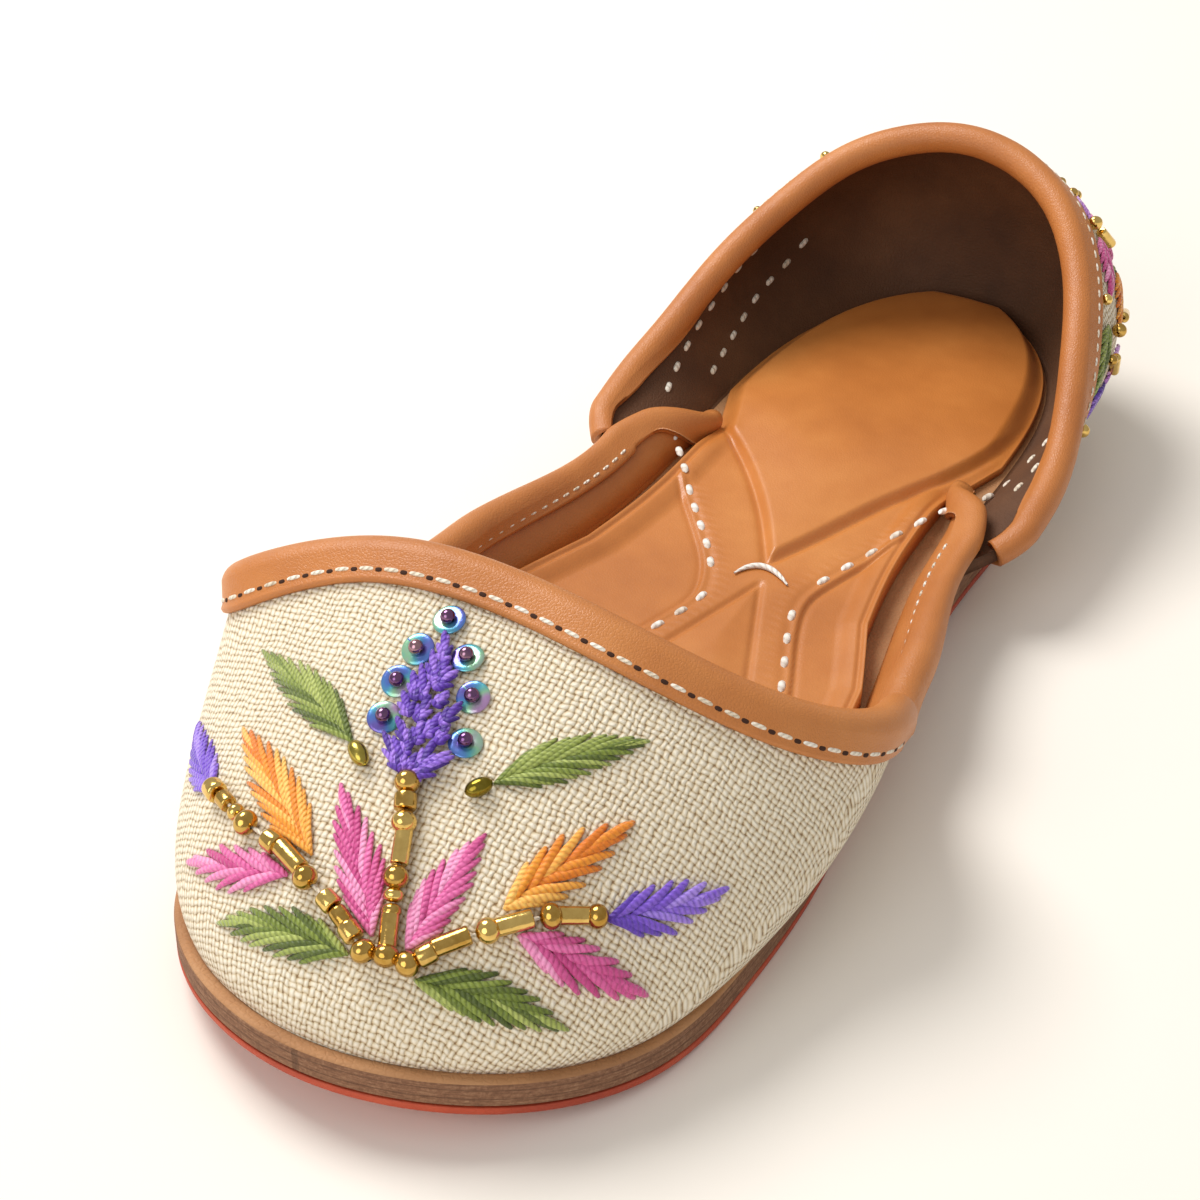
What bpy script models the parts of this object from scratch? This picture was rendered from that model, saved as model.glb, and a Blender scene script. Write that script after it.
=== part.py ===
"""Mojari shoe, a jutti for the left foot: its throat's outer corner lies further back and lower.

The toe points along -Y, +Z is up, and the origin lies on the floor under the middle of the shoe.
Every curved piece is worked out from one last: an outline round the sole, and sections that rise
from it to the topline.
"""

import math
from collections import namedtuple
from functools import lru_cache

import bmesh
import bpy
import numpy as np

# Sizes of the last and the sole, in metres
SOLE_LENGTH = 0.248
BALL_WIDTH = 0.086
HEEL_WIDTH = 0.066
TOE_SPRING = 0.0065
ARCH_RISE = 0.0018
OUTSOLE_THICK = 0.0016
MIDSOLE_BALL = 0.0045
MIDSOLE_HEEL = 0.0072
LEDGE = 0.0024
BOARD_CHAMFER = 0.0006

# Heights of the topline above the midsole at the ball
THROAT_RISE = 0.0413
WAIST_RISE = 0.0086
BACK_RISE = 0.0450

# The throat isn't square to the shoe: its outer corner lies further back, and its outer side lower.
# Both grow from the middle: the slant with the cube of the distance, the drop evenly, less its ease.
CORNER_SLANT = 0.0074
SIDE_DROP = 0.0044
CORNER_EASE = 0.0013

# Walls, laps and fits
VAMP_WALL = 0.0020
QUARTER_WALL = 0.0022
QUARTER_STEP = 0.0017
WING_LEAN = 0.0064
CLEARANCE = 0.0003

# The walls start this far below the top of the midsole, and are trimmed level with it
TRIM = 0.0010

# Bindings: folded leather with a roll over the edge and a flap on each side
LEATHER = 0.0010
VAMP_ROLL = 0.0019
VAMP_ROLL_TOP = 0.0024
VAMP_FLAP = 0.0058
WING_FLAP = 0.0030
INNER_FLAP = 0.0048
QUARTER_ROLL = 0.0015
QUARTER_ROLL_TOP = 0.0020
QUARTER_FLAP = 0.0046
QUARTER_INNER = 0.0034

# Padded sock
SOCK_THICK = 0.0020
PAD_CROWN = 0.0024
BAND_RISE = 0.0007
BAND_WIDTH = 0.0130
PAD_ROUND = 0.0040

# The point and the widest place of the heel pad, as shares of the length, and the bands' slope
PAD_POINT = 0.54
PAD_WIDE = 0.80
BAND_SLOPE = 0.62

# Where the flat spots of the sole start and stop, as shares of the length from the toe
TOE_BEND = 0.19
ARCH_START = 0.36
ARCH_END = 0.74
WEDGE_START = 0.30
WEDGE_END = 0.80

# Where the quarter's step outside the wings grows in the feather line
STEP_START = 0.45
STEP_END = 0.62

# Where the throat's slant starts to die away, and where it has gone
SLANT_START = 0.28
SLANT_END = 0.58

# Where the quarter's front ends and the wings' back ends lie, as shares of the way from toe to heel
QUARTER_FRONT = 0.592
QUARTER_FULL = 0.634
WING_END = 0.692

# The wings' lean starts and ends at these shares of their height
LEAN_START = 0.10
LEAN_END = 1.00
LEAN_LEAD = 0.15
FRONT_START = 0.30
STRIP_GAP = 0.020

# Where the throat's deep flap has turned into the wings' short one, as shares of the way
WING_START = 0.27
WING_FULL = 0.45

# Shares of a flap that are left where a wing and the quarter's front end lie close together
LAPPED_OUTER = 0.30
LAPPED_INNER = 0.60
FRONT_OUTER = 0.45
FRONT_INNER = 0.25
FRONT_GROWTH = 0.03

VAMP_STATIONS = 76
QUARTER_STATIONS = 56
WALL_ROWS = 8

SECTION_STEPS = 33
ROLL_POINTS = 6

# Steps for measuring how a skin turns, and how near the sole a flap may reach
WAY_STEP = 0.002
SHARE_STEP = 0.03
LOWEST_SHARE = 0.3

BALL_DECK = OUTSOLE_THICK + MIDSOLE_BALL + 2 * CLEARANCE
SOLE_STATIONS = 45

# Edges that turn more than this are drawn sharp
SHARP_TURN = math.radians(40.0)

Outline = namedtuple("Outline", "along ball heel")
OUTLINE = [
    Outline(0.000, 0.00, 0.00),
    Outline(0.014, 0.37, 0.00),
    Outline(0.048, 0.67, 0.00),
    Outline(0.117, 0.93, 0.00),
    Outline(0.198, 1.00, 0.00),
    Outline(0.298, 1.00, 0.00),
    Outline(0.400, 0.91, 0.03),
    Outline(0.500, 0.65, 0.27),
    Outline(0.600, 0.34, 0.58),
    Outline(0.700, 0.12, 0.85),
    Outline(0.800, 0.00, 1.00),
    Outline(0.885, 0.00, 0.90),
    Outline(0.945, 0.00, 0.69),
    Outline(0.985, 0.00, 0.37),
    Outline(1.000, 0.00, 0.00),
]

# foot: place on the outline, as a share of the way round from toe to heel
# along, width: the topline's place, as shares of the length and of half the ball width
# throat, waist, back: shares of the three rises, which add up to the topline's height
# the rest: the section's two handles, as shares of its chord (in: along it, out: sideways, up)
Section = namedtuple(
    "Section",
    "foot along width throat waist back low_in low_out low_up high_in high_out high_up",
)
SECTIONS = [
    Section(0.000, 0.249, 0.000, 1.09, 0.00, 0.000, 0.00, 0.01, 0.22, 0.42, 0.00, 0.07),
    Section(0.062, 0.246, 0.332, 1.08, 0.00, 0.000, 0.00, 0.06, 0.22, 0.42, 0.01, 0.07),
    Section(0.128, 0.249, 0.676, 0.98, 0.00, 0.000, 0.00, 0.12, 0.22, 0.40, 0.02, 0.06),
    Section(0.200, 0.258, 0.999, 0.82, 0.00, 0.000, 0.00, 0.19, 0.22, 0.36, 0.05, 0.04),
    Section(0.262, 0.284, 1.145, 0.69, 0.00, 0.000, 0.00, 0.29, 0.26, 0.33, 0.09, 0.01),
    Section(0.322, 0.333, 1.125, 0.46, 0.49, 0.000, 0.00, 0.26, 0.30, 0.33, 0.13, 0.00),
    Section(0.385, 0.385, 1.045, 0.14, 0.82, 0.000, 0.00, 0.18, 0.33, 0.33, 0.13, 0.00),
    Section(0.470, 0.461, 0.975, 0.04, 1.00, 0.000, 0.00, 0.09, 0.36, 0.33, 0.08, 0.00),
    Section(0.545, 0.550, 0.965, 0.00, 1.00, 0.000, 0.00, 0.03, 0.36, 0.33, 0.03, 0.00),
    Section(0.598, 0.613, 0.971, 0.00, 0.96, 0.000, 0.00, 0.02, 0.36, 0.33, 0.00, 0.00),
    Section(0.640, 0.660, 0.972, 0.00, 0.79, 0.072, 0.00, 0.03, 0.34, 0.33, 0.04, 0.00),
    Section(0.678, 0.705, 0.965, 0.00, 0.53, 0.185, 0.00, 0.07, 0.32, 0.33, 0.12, 0.00),
    Section(0.722, 0.754, 0.900, 0.00, 0.25, 0.340, 0.00, 0.18, 0.28, 0.33, 0.26, 0.00),
    Section(0.775, 0.810, 0.795, 0.00, 0.00, 0.565, 0.00, 0.27, 0.25, 0.33, 0.38, 0.00),
    Section(0.825, 0.864, 0.665, 0.00, 0.00, 0.718, 0.00, 0.29, 0.24, 0.33, 0.46, 0.00),
    Section(0.880, 0.904, 0.480, 0.00, 0.00, 0.872, 0.00, 0.23, 0.24, 0.33, 0.48, 0.00),
    Section(0.940, 0.929, 0.232, 0.00, 0.00, 0.965, 0.00, 0.12, 0.24, 0.33, 0.44, 0.00),
    Section(1.000, 0.934, 0.000, 0.00, 0.00, 1.000, 0.00, 0.04, 0.24, 0.33, 0.33, 0.00),
]

# How far the sock's edge stays inside the feather line: shares of the wall, and of the wings' lean
SockEdge = namedtuple("SockEdge", "foot wall lean")
SOCK_EDGES = [
    SockEdge(0.00, 2.2, 0.00),
    SockEdge(0.12, 1.6, 0.00),
    SockEdge(0.25, 1.1, 0.00),
    SockEdge(0.48, 1.1, 0.00),
    SockEdge(0.54, 1.1, 0.70),
    SockEdge(0.69, 1.1, 0.70),
    SockEdge(0.74, 0.5, 0.00),
    SockEdge(1.00, 0.3, 0.00),
]


def smoothstep(start, end, value):
    share = np.clip((value - start) / (end - start), 0.0, 1.0)
    return share * share * (3.0 - 2.0 * share)


def unit(vector):
    return vector / np.linalg.norm(vector)


def spline_through(knots, rows, at):
    """Natural cubic spline through rows of numbers, read at one or many places."""
    steps = np.diff(knots)
    slopes = np.diff(rows, axis=0) / steps[:, None]
    system = np.eye(len(knots))
    right = np.zeros_like(rows)
    for row in range(1, len(knots) - 1):
        system[row, row - 1 : row + 2] = (
            steps[row - 1],
            2.0 * (steps[row - 1] + steps[row]),
            steps[row],
        )
        right[row] = 6.0 * (slopes[row] - slopes[row - 1])
    bend = np.linalg.solve(system, right)
    at = np.atleast_1d(at)
    left = np.clip(np.searchsorted(knots, at) - 1, 0, len(knots) - 2)
    step = steps[left][:, None]
    before = (knots[left + 1] - at)[:, None]
    after = (at - knots[left])[:, None]
    return (
        bend[left] * before**3 / (6.0 * step)
        + bend[left + 1] * after**3 / (6.0 * step)
        + (rows[left] / step - bend[left] * step / 6.0) * before
        + (rows[left + 1] / step - bend[left + 1] * step / 6.0) * after
    )


def mirrored_ends(knots, rows, sides, reach=4):
    """The rows with a few more past each end, mirrored, so that the curve crosses the middle square."""
    head = rows[reach:0:-1] * sides
    tail = rows[-2 : -reach - 2 : -1] * sides
    before = 2.0 * knots[0] - knots[reach:0:-1]
    after = 2.0 * knots[-1] - knots[-2 : -reach - 2 : -1]
    return np.concatenate([before, knots, after]), np.concatenate([head, rows, tail])


def chord_knots(points):
    return np.concatenate([[0.0], np.cumsum(np.linalg.norm(np.diff(points, axis=0), axis=1))])


def sole_outline():
    """Half of the sole's outline, toe to heel, as (share of the way round, points, outward normals)."""
    corners = np.array(
        [
            (
                row.ball * BALL_WIDTH / 2 + row.heel * HEEL_WIDTH / 2,
                (row.along - 0.5) * SOLE_LENGTH,
            )
            for row in OUTLINE
        ]
    )
    knots, rows = mirrored_ends(chord_knots(corners), corners, np.array([-1.0, 1.0]))
    at = np.linspace(0.0, chord_knots(corners)[-1], 400)
    points = spline_through(knots, rows, at)
    tangents = np.gradient(points, axis=0)
    tangents[[0, -1], 1] = 0.0
    normals = np.stack([tangents[:, 1], -tangents[:, 0]], axis=1)
    normals /= np.linalg.norm(normals, axis=1)[:, None]
    walked = chord_knots(points)
    return walked / walked[-1], points, normals


SOLE_SHARES, SOLE_POINTS, SOLE_NORMALS = sole_outline()


def on_outline(foot, inset=0.0):
    """(x, y) on the outline at a share of the way round from toe to heel, moved inwards, with its normal."""
    x = np.interp(foot, SOLE_SHARES, SOLE_POINTS[:, 0])
    y = np.interp(foot, SOLE_SHARES, SOLE_POINTS[:, 1])
    normal = unit(
        np.array([np.interp(foot, SOLE_SHARES, SOLE_NORMALS[:, axis]) for axis in (0, 1)])
    )
    return np.array([x, y]) - normal * inset, normal


def along_of(y):
    return y / SOLE_LENGTH + 0.5


def underside(y):
    """Height of the sole's underside: toe spring, forefoot flat, arch, heel flat."""
    along = along_of(y)
    spring = np.clip(1.0 - along / TOE_BEND, 0.0, 1.0) ** 1.7
    arch = np.clip((along - ARCH_START) / (ARCH_END - ARCH_START), 0.0, 1.0)
    return TOE_SPRING * spring + ARCH_RISE * np.sin(math.pi * arch) ** 2


def midsole_base(y):
    return underside(y) + OUTSOLE_THICK + CLEARANCE


def midsole_top(y):
    along = along_of(y)
    spring = np.clip(1.0 - along / TOE_BEND, 0.0, 1.0) ** 1.7
    wedge = smoothstep(WEDGE_START, WEDGE_END, along) * (MIDSOLE_HEEL - MIDSOLE_BALL)
    return OUTSOLE_THICK + CLEARANCE + MIDSOLE_BALL + TOE_SPRING * spring + wedge


def feather_inset(foot):
    """The quarter lies outside the wings, so its feather line leaves room for that step."""
    return LEDGE + QUARTER_STEP * smoothstep(STEP_START, STEP_END, foot)


def section_knots():
    tops = np.array([(row.width * BALL_WIDTH / 2, row.along * SOLE_LENGTH) for row in SECTIONS])
    feet = np.array([on_outline(row.foot)[0] for row in SECTIONS])
    walked = chord_knots(tops) + chord_knots(feet)
    return walked / walked[-1]


SECTION_SIDES = np.array([-1.0, 1.0, -1.0] + [1.0] * 9)
KNOTS, KNOT_ROWS = mirrored_ends(section_knots(), np.array(SECTIONS), SECTION_SIDES)
# Past the toe and the heel the share of the way round folds back, so it is mirrored about each end.
KNOT_ROWS[:4, 0] = -np.abs(KNOT_ROWS[:4, 0])
KNOT_ROWS[-4:, 0] = 2.0 - np.abs(KNOT_ROWS[-4:, 0])


@lru_cache(maxsize=None)
def section_curve(way):
    """One section of the last, from feather line to topline, and the way out of the shoe at its foot."""
    row = Section(*spline_through(KNOTS, KNOT_ROWS, way)[0])
    flat, normal = on_outline(row.foot, feather_inset(row.foot))
    foot = np.array([flat[0], flat[1], midsole_top(flat[1]) - TRIM])
    rise = row.throat * THROAT_RISE + row.waist * WAIST_RISE + row.back * BACK_RISE
    top = np.array([row.width * BALL_WIDTH / 2, (row.along - 0.5) * SOLE_LENGTH, BALL_DECK + rise])
    chord = np.linalg.norm(top - foot)
    out = np.array([normal[0], normal[1], 0.0])
    up = np.array([0.0, 0.0, chord])
    low = foot + (top - foot) * row.low_in + out * chord * row.low_out + up * row.low_up
    high = top + (foot - top) * row.high_in + out * chord * row.high_out + up * row.high_up
    step = np.linspace(0.0, 1.0, SECTION_STEPS)[:, None]
    curve = foot * (1 - step) ** 3 + 3 * low * step * (1 - step) ** 2
    curve += 3 * high * step**2 * (1 - step) + top * step**3
    return curve, chord_knots(curve), out


def folded(way):
    """A place on either side as a share of the way from toe to heel."""
    return 1.0 - abs(1.0 - abs(way))


def last_point(way, share, lean=0.0):
    """Point on the last's skin. way is 0 at the toe and 1 at the heel, and share goes up the section.

    A way under 0 or over 1 lies on the left side. lean moves the point into the shoe.
    """
    curve, walked, out = section_curve(folded(way))
    if share <= 0.0:
        found = curve[0]
    else:
        found = np.array([np.interp(share * walked[-1], walked, curve[:, axis]) for axis in range(3)])
    side = 1.0 if 0.0 <= way <= 1.0 else -1.0
    aside = side * found[0] / (BALL_WIDTH / 2)
    fade = max(share, 0.0) * (1.0 - smoothstep(SLANT_START, SLANT_END, along_of(found[1])))
    slant = CORNER_SLANT * aside**3 * fade
    drop = (SIDE_DROP * aside - CORNER_EASE * aside**3) * fade
    return (found - out * lean) * np.array([side, 1.0, 1.0]) + np.array([0.0, slant, -drop])


def vamp_edge(way):
    """Share of the section that the vamp reaches: only the wings' height inside the quarter."""
    curve, walked, _ = section_curve(folded(way))
    wing_height = BALL_DECK + WAIST_RISE
    if folded(way) < QUARTER_FRONT or curve[-1, 2] <= wing_height:
        return 1.0
    return float(np.interp(wing_height, curve[:, 2], walked / walked[-1]))


def quarter_edge(way):
    """Share of the section that the quarter reaches: it rises in a quarter turn at its front end."""
    rise = np.clip((folded(way) - QUARTER_FRONT) / (QUARTER_FULL - QUARTER_FRONT), 0.0, 1.0)
    return FRONT_START + (1.0 - FRONT_START) * math.sin(rise * math.pi / 2)


def vamp_skin(way, share):
    """Point on the outside of the vamp; share 1 is its edge. A wing leans in, to pass inside the quarter."""
    lap = smoothstep(QUARTER_FRONT - LEAN_LEAD, QUARTER_FRONT, folded(way))
    lean = WING_LEAN * lap * np.clip((share - LEAN_START) / (LEAN_END - LEAN_START), 0.0, 1.0)
    return last_point(way, share * vamp_edge(way), lean)


def quarter_skin(way, share):
    return last_point(way, share * quarter_edge(way))


def skin_frame(skin, way, share):
    """Point, its change along the way and up the section, and the outward normal."""
    along = (skin(way + WAY_STEP, share) - skin(way - WAY_STEP, share)) / (2 * WAY_STEP)
    low = max(share - SHARE_STEP, 0.0)
    high = min(share + SHARE_STEP, 1.0)
    up = (skin(way, high) - skin(way, low)) / (high - low)
    return skin(way, share), along, up, unit(np.cross(along, up))


def mesh_object(name, verts, faces, collection, material):
    mesh = bpy.data.meshes.new(name)
    mesh.from_pydata([tuple(vert) for vert in verts], [], faces)
    mesh.validate()
    obj = bpy.data.objects.new(name, mesh)
    collection.objects.link(obj)
    mesh.shade_smooth()
    mesh.set_sharp_from_angle(angle=SHARP_TURN)
    mesh.materials.append(material)
    return obj


def make_shell(name, skin, ways, thickness, offset, collection, material):
    """An open grid on the last's skin, given its wall by Solidify."""
    shares = np.linspace(0.0, 1.0, WALL_ROWS + 1)
    verts = [skin(way, share) for way in ways for share in shares]
    rows = len(shares)
    faces = []
    for column in range(len(ways) - 1):
        for row in range(WALL_ROWS):
            corner = column * rows + row
            faces.append((corner, corner + rows, corner + rows + 1, corner + 1))
    shell = mesh_object(name, verts, faces, collection, material)
    wall = shell.modifiers.new("wall", "SOLIDIFY")
    wall.thickness = thickness
    wall.offset = offset
    wall.use_even_offset = True
    return shell


def make_plate(name, inset_of, side, top_of, base_of, across, collection, material):
    """A closed plate inside the outline: rings up its side, and strips across its top and underside.

    side holds (inset, share of the height) for each ring, and across the shares of the half width
    where the top has points between its edges.
    """
    feet = np.linspace(0.0, 1.0, SOLE_STATIONS)
    count = 2 * len(feet) - 2
    verts, faces = [], []
    for inset, share in side:
        half = [on_outline(foot, inset_of(foot) + inset)[0] for foot in feet]
        ring = half + [flat * np.array([-1.0, 1.0]) for flat in half[-2:0:-1]]
        for x, y in ring:
            base = base_of(y)
            verts.append((x, y, base + (top_of(x, y, x, y) - base) * share))
    for level in range(len(side) - 1):
        for index in range(count):
            after = (index + 1) % count
            start, above = level * count, (level + 1) * count
            faces.append((start + index, start + after, above + after, above + index))
    top = (len(side) - 1) * count
    inner = {}
    for index in range(1, len(feet) - 1):
        x, y, _ = verts[top + index]
        for place, share in enumerate(across):
            inner[index, place] = len(verts)
            verts.append((x * share, y, top_of(x * share, y, x, y)))
    faces += strip_faces(len(feet), 0, count, {}, 0)
    faces += strip_faces(len(feet), top, count, inner, len(across))
    plate = mesh_object(name, verts, faces, collection, material)
    turn_outwards(plate)
    return plate


def strip_faces(stations, start, count, inner, places):
    """Faces between neighbouring rows across a ring whose first and middle points are its two tips."""
    rows = []
    for index in range(1, stations - 1):
        left = start + count - index
        rows.append([left] + [inner[index, place] for place in range(places)] + [start + index])
    faces = []
    for row, after in zip(rows, rows[1:]):
        for place in range(len(row) - 1):
            faces.append((row[place], row[place + 1], after[place + 1], after[place]))
    for tip, row in ((start, rows[0]), (start + stations - 1, rows[-1])):
        for place in range(len(row) - 1):
            faces.append((row[place], row[place + 1], tip))
    return faces


def turn_outwards(obj):
    shape = bmesh.new()
    shape.from_mesh(obj.data)
    bmesh.ops.recalc_face_normals(shape, faces=shape.faces)
    shape.to_mesh(obj.data)
    shape.free()


def binding_profile(wall_out, wall_in, roll, roll_top, outer_flap, inner_flap):
    """A folded strip's section, as (depth below the edge, distance out of the skin).

    The first list runs along the wall and the second over the roll, each from the outer flap's end
    to the inner flap's end.
    """
    out = wall_out + CLEARANCE
    inn = wall_in - CLEARANCE
    middle = (out + inn) / 2
    half = (out - inn) / 2 + roll
    shoulder = 0.5 * roll_top
    neck_out = min(2.6 * roll, 0.8 * outer_flap)
    neck_in = min(2.6 * roll, 0.8 * inner_flap)
    along_wall = [(outer_flap, out), (outer_flap / 2, out), (-CLEARANCE, out)]
    along_wall += [(-CLEARANCE, inn), (inner_flap / 2, inn), (inner_flap, inn)]
    over_roll = [(outer_flap, out + LEATHER), (neck_out, out + LEATHER)]
    for turn in np.linspace(0.0, math.pi, ROLL_POINTS):
        depth = shoulder - (shoulder + roll_top) * math.sin(turn)
        over_roll.append((depth, middle + half * math.cos(turn)))
    over_roll += [(neck_in, inn - LEATHER), (inner_flap, inn - LEATHER)]
    return along_wall, over_roll


def strip_points(way, skin, profile):
    """Points of a strip's section at one place along the edge of a skin."""
    point, along, up, normal = skin_frame(skin, way, 1.0)
    tangent = unit(skin(way + WAY_STEP, 1.0) - skin(way - WAY_STEP, 1.0))
    down = unit(np.cross(tangent, normal))
    jacobian = np.stack([along, up], axis=1)
    points = []
    for depth, out in profile:
        if depth <= 0.0:
            points.append(point + down * depth + normal * out)
            continue
        move = np.linalg.lstsq(jacobian, down * depth, rcond=None)[0]
        share = max(1.0 + move[1], LOWEST_SHARE)
        found, _, _, found_normal = skin_frame(skin, way + move[0], share)
        points.append(found + found_normal * out)
    return points


def make_strip(name, ways, skin, profile_of, collection, material):
    """A binding swept along the edge of a skin, closed at both ends."""
    verts, faces = [], []
    for way in ways:
        along_wall, over_roll = profile_of(way)
        verts += strip_points(way, skin, along_wall + over_roll[::-1])
    walls, count = len(along_wall), len(along_wall) + len(over_roll)
    for level in range(len(ways) - 1):
        start, above = level * count, (level + 1) * count
        for index in range(count):
            after = (index + 1) % count
            faces.append((start + index, start + after, above + after, above + index))
    for start in (0, (len(ways) - 1) * count):
        faces += strip_end(start, walls, count)
    strip = mesh_object(name, verts, faces, collection, material)
    turn_outwards(strip)
    return strip


def strip_end(start, walls, count):
    """Triangles across a strip's end, between its side along the wall and its side over the roll."""
    inner = [start + index for index in range(walls)]
    outer = [start + count - 1 - index for index in range(count - walls)]
    faces = []
    low, high = 0, 0
    while low < len(inner) - 1 or high < len(outer) - 1:
        if low * (len(outer) - 1) <= high * (len(inner) - 1) and low < len(inner) - 1:
            faces.append((inner[low], inner[low + 1], outer[high]))
            low += 1
        else:
            faces.append((inner[low], outer[high + 1], outer[high]))
            high += 1
    return faces


def vamp_profile(way):
    """Deep flap across the throat, a short one on the wings, and a thin roll inside the quarter."""
    near = folded(way)
    wing = smoothstep(WING_START, WING_FULL, near)
    lap = smoothstep(QUARTER_FRONT - LEAN_LEAD, QUARTER_FRONT, near)
    outer_flap = VAMP_FLAP + (WING_FLAP - VAMP_FLAP) * wing - (1.0 - LAPPED_OUTER) * WING_FLAP * lap
    inside = smoothstep(QUARTER_FRONT, QUARTER_FULL, near)
    inner_flap = INNER_FLAP * (1.0 - (1.0 - LAPPED_INNER) * inside)
    roll = VAMP_ROLL + (LEATHER - VAMP_ROLL) * lap
    return binding_profile(0.0, -VAMP_WALL, roll, VAMP_ROLL_TOP, outer_flap, inner_flap)


def quarter_profile(way):
    """Flaps that shorten towards the quarter's front ends, where the wings lie close inside."""
    grown = smoothstep(QUARTER_FRONT, QUARTER_FULL + FRONT_GROWTH, folded(way))
    outer_flap = QUARTER_FLAP * (FRONT_OUTER + (1.0 - FRONT_OUTER) * grown)
    inner_flap = QUARTER_INNER * (FRONT_INNER + (1.0 - FRONT_INNER) * grown)
    inside = QUARTER_STEP - QUARTER_WALL
    roll = LEATHER * (1.0 - grown) + QUARTER_ROLL * grown
    return binding_profile(QUARTER_STEP, inside, roll, QUARTER_ROLL_TOP, outer_flap, inner_flap)


def sock_inset(foot):
    table = np.array(SOCK_EDGES)
    wall = np.interp(foot, table[:, 0], table[:, 1])
    lean = np.interp(foot, table[:, 0], table[:, 2])
    return feather_inset(foot) + wall * VAMP_WALL + lean * WING_LEAN + CLEARANCE


def sock_top(x, y, edge_x, edge_y):
    """Height of the padded sock: a crowned heel pad and two bands that cross at the waist."""
    along = along_of(y)
    heel_end = SOLE_LENGTH / 2 - LEDGE - QUARTER_STEP - y
    inside = min(abs(edge_x) - abs(x), heel_end)
    edge = smoothstep(0.0, PAD_ROUND, inside)
    pad_width = HEEL_WIDTH / 2 * smoothstep(PAD_POINT, PAD_WIDE, along)
    across = abs(x) / max(pad_width, CLEARANCE)
    pad = PAD_CROWN * smoothstep(PAD_POINT, PAD_WIDE - 0.1, along) * (1.0 - smoothstep(0.3, 1.0, across))
    aside = abs(abs(y - (PAD_POINT - 0.5) * SOLE_LENGTH) * BAND_SLOPE - abs(x))
    band = BAND_RISE * (1.0 - smoothstep(0.35, 0.65, aside / BAND_WIDTH))
    return midsole_top(y) + CLEARANCE + SOCK_THICK * (0.65 + 0.35 * edge) + max(pad, band) * edge


def make_material(name, colour, roughness):
    material = bpy.data.materials.new(name)
    material.use_nodes = True
    shader = material.node_tree.nodes["Principled BSDF"]
    shader.inputs["Base Color"].default_value = (*colour, 1.0)
    shader.inputs["Roughness"].default_value = roughness
    shader.inputs["Metallic"].default_value = 0.0
    return material


def clear_scene():
    for obj in list(bpy.data.objects):
        bpy.data.objects.remove(obj, do_unlink=True)


def new_collection(name):
    collection = bpy.data.collections.new(name)
    bpy.context.scene.collection.children.link(collection)
    return collection


def build():
    clear_scene()
    shoe = new_collection("mojari_shoe")
    helpers = new_collection("helpers")
    red_leather = make_material("red_leather", (0.55, 0.10, 0.04), 0.6)
    board = make_material("board", (0.28, 0.14, 0.07), 0.8)
    canvas = make_material("canvas", (0.75, 0.64, 0.46), 0.9)
    tan_leather = make_material("tan_leather", (0.60, 0.28, 0.10), 0.5)

    make_plate(
        "outsole",
        lambda foot: 0.0,
        [(0.5 * OUTSOLE_THICK, 0.0), (0.0, 0.5), (0.0, 1.0)],
        lambda x, y, edge_x, edge_y: underside(y) + OUTSOLE_THICK,
        underside,
        (),
        shoe,
        red_leather,
    )
    make_plate(
        "midsole",
        lambda foot: 0.0,
        [(0.0, 0.0), (0.0, 1.0 - BOARD_CHAMFER / MIDSOLE_BALL), (BOARD_CHAMFER, 1.0)],
        lambda x, y, edge_x, edge_y: midsole_top(y),
        midsole_base,
        (),
        shoe,
        board,
    )
    make_plate(
        "insole",
        sock_inset,
        [(0.0, 0.0), (0.0, 1.0)],
        sock_top,
        lambda y: midsole_top(y) + CLEARANCE,
        (-0.9, -0.75, -0.6, -0.45, -0.3, -0.15, 0.0, 0.15, 0.3, 0.45, 0.6, 0.75, 0.9),
        shoe,
        tan_leather,
    )

    vamp_ways = np.linspace(-WING_END, WING_END, VAMP_STATIONS)
    quarter_ways = np.linspace(QUARTER_FRONT, 2.0 - QUARTER_FRONT, QUARTER_STATIONS)
    upper = make_shell("upper", vamp_skin, vamp_ways, VAMP_WALL, -1.0, shoe, canvas)
    quarter_offset = 2.0 * QUARTER_STEP / QUARTER_WALL - 1.0
    quarter = make_shell(
        "quarter_shell", quarter_skin, quarter_ways, QUARTER_WALL, quarter_offset, helpers, canvas
    )
    quarter.hide_render = True
    quarter.display_type = "WIRE"
    join = upper.modifiers.new("join", "BOOLEAN")
    join.operation = "UNION"
    join.object = quarter
    join.solver = "EXACT"
    under = make_plate(
        "sole_trim",
        lambda foot: -LEDGE,
        [(0.0, 0.0), (0.0, 1.0)],
        lambda x, y, edge_x, edge_y: midsole_top(y) + CLEARANCE,
        lambda y: midsole_top(y) - 4 * TRIM,
        (),
        helpers,
        canvas,
    )
    under.hide_render = True
    under.display_type = "WIRE"
    trim = upper.modifiers.new("trim", "BOOLEAN")
    trim.operation = "DIFFERENCE"
    trim.object = under
    trim.solver = "EXACT"

    make_strip("vamp_binding", vamp_ways, vamp_skin, vamp_profile, shoe, tan_leather)
    strip_start = QUARTER_FRONT + STRIP_GAP
    strip_ways = np.linspace(strip_start, 2.0 - strip_start, QUARTER_STATIONS)
    make_strip("quarter_binding", strip_ways, quarter_skin, quarter_profile, shoe, tan_leather)


build()
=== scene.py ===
import math
from collections import namedtuple

import bmesh
import bpy
import numpy as np
from mathutils import Matrix, Vector


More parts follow.
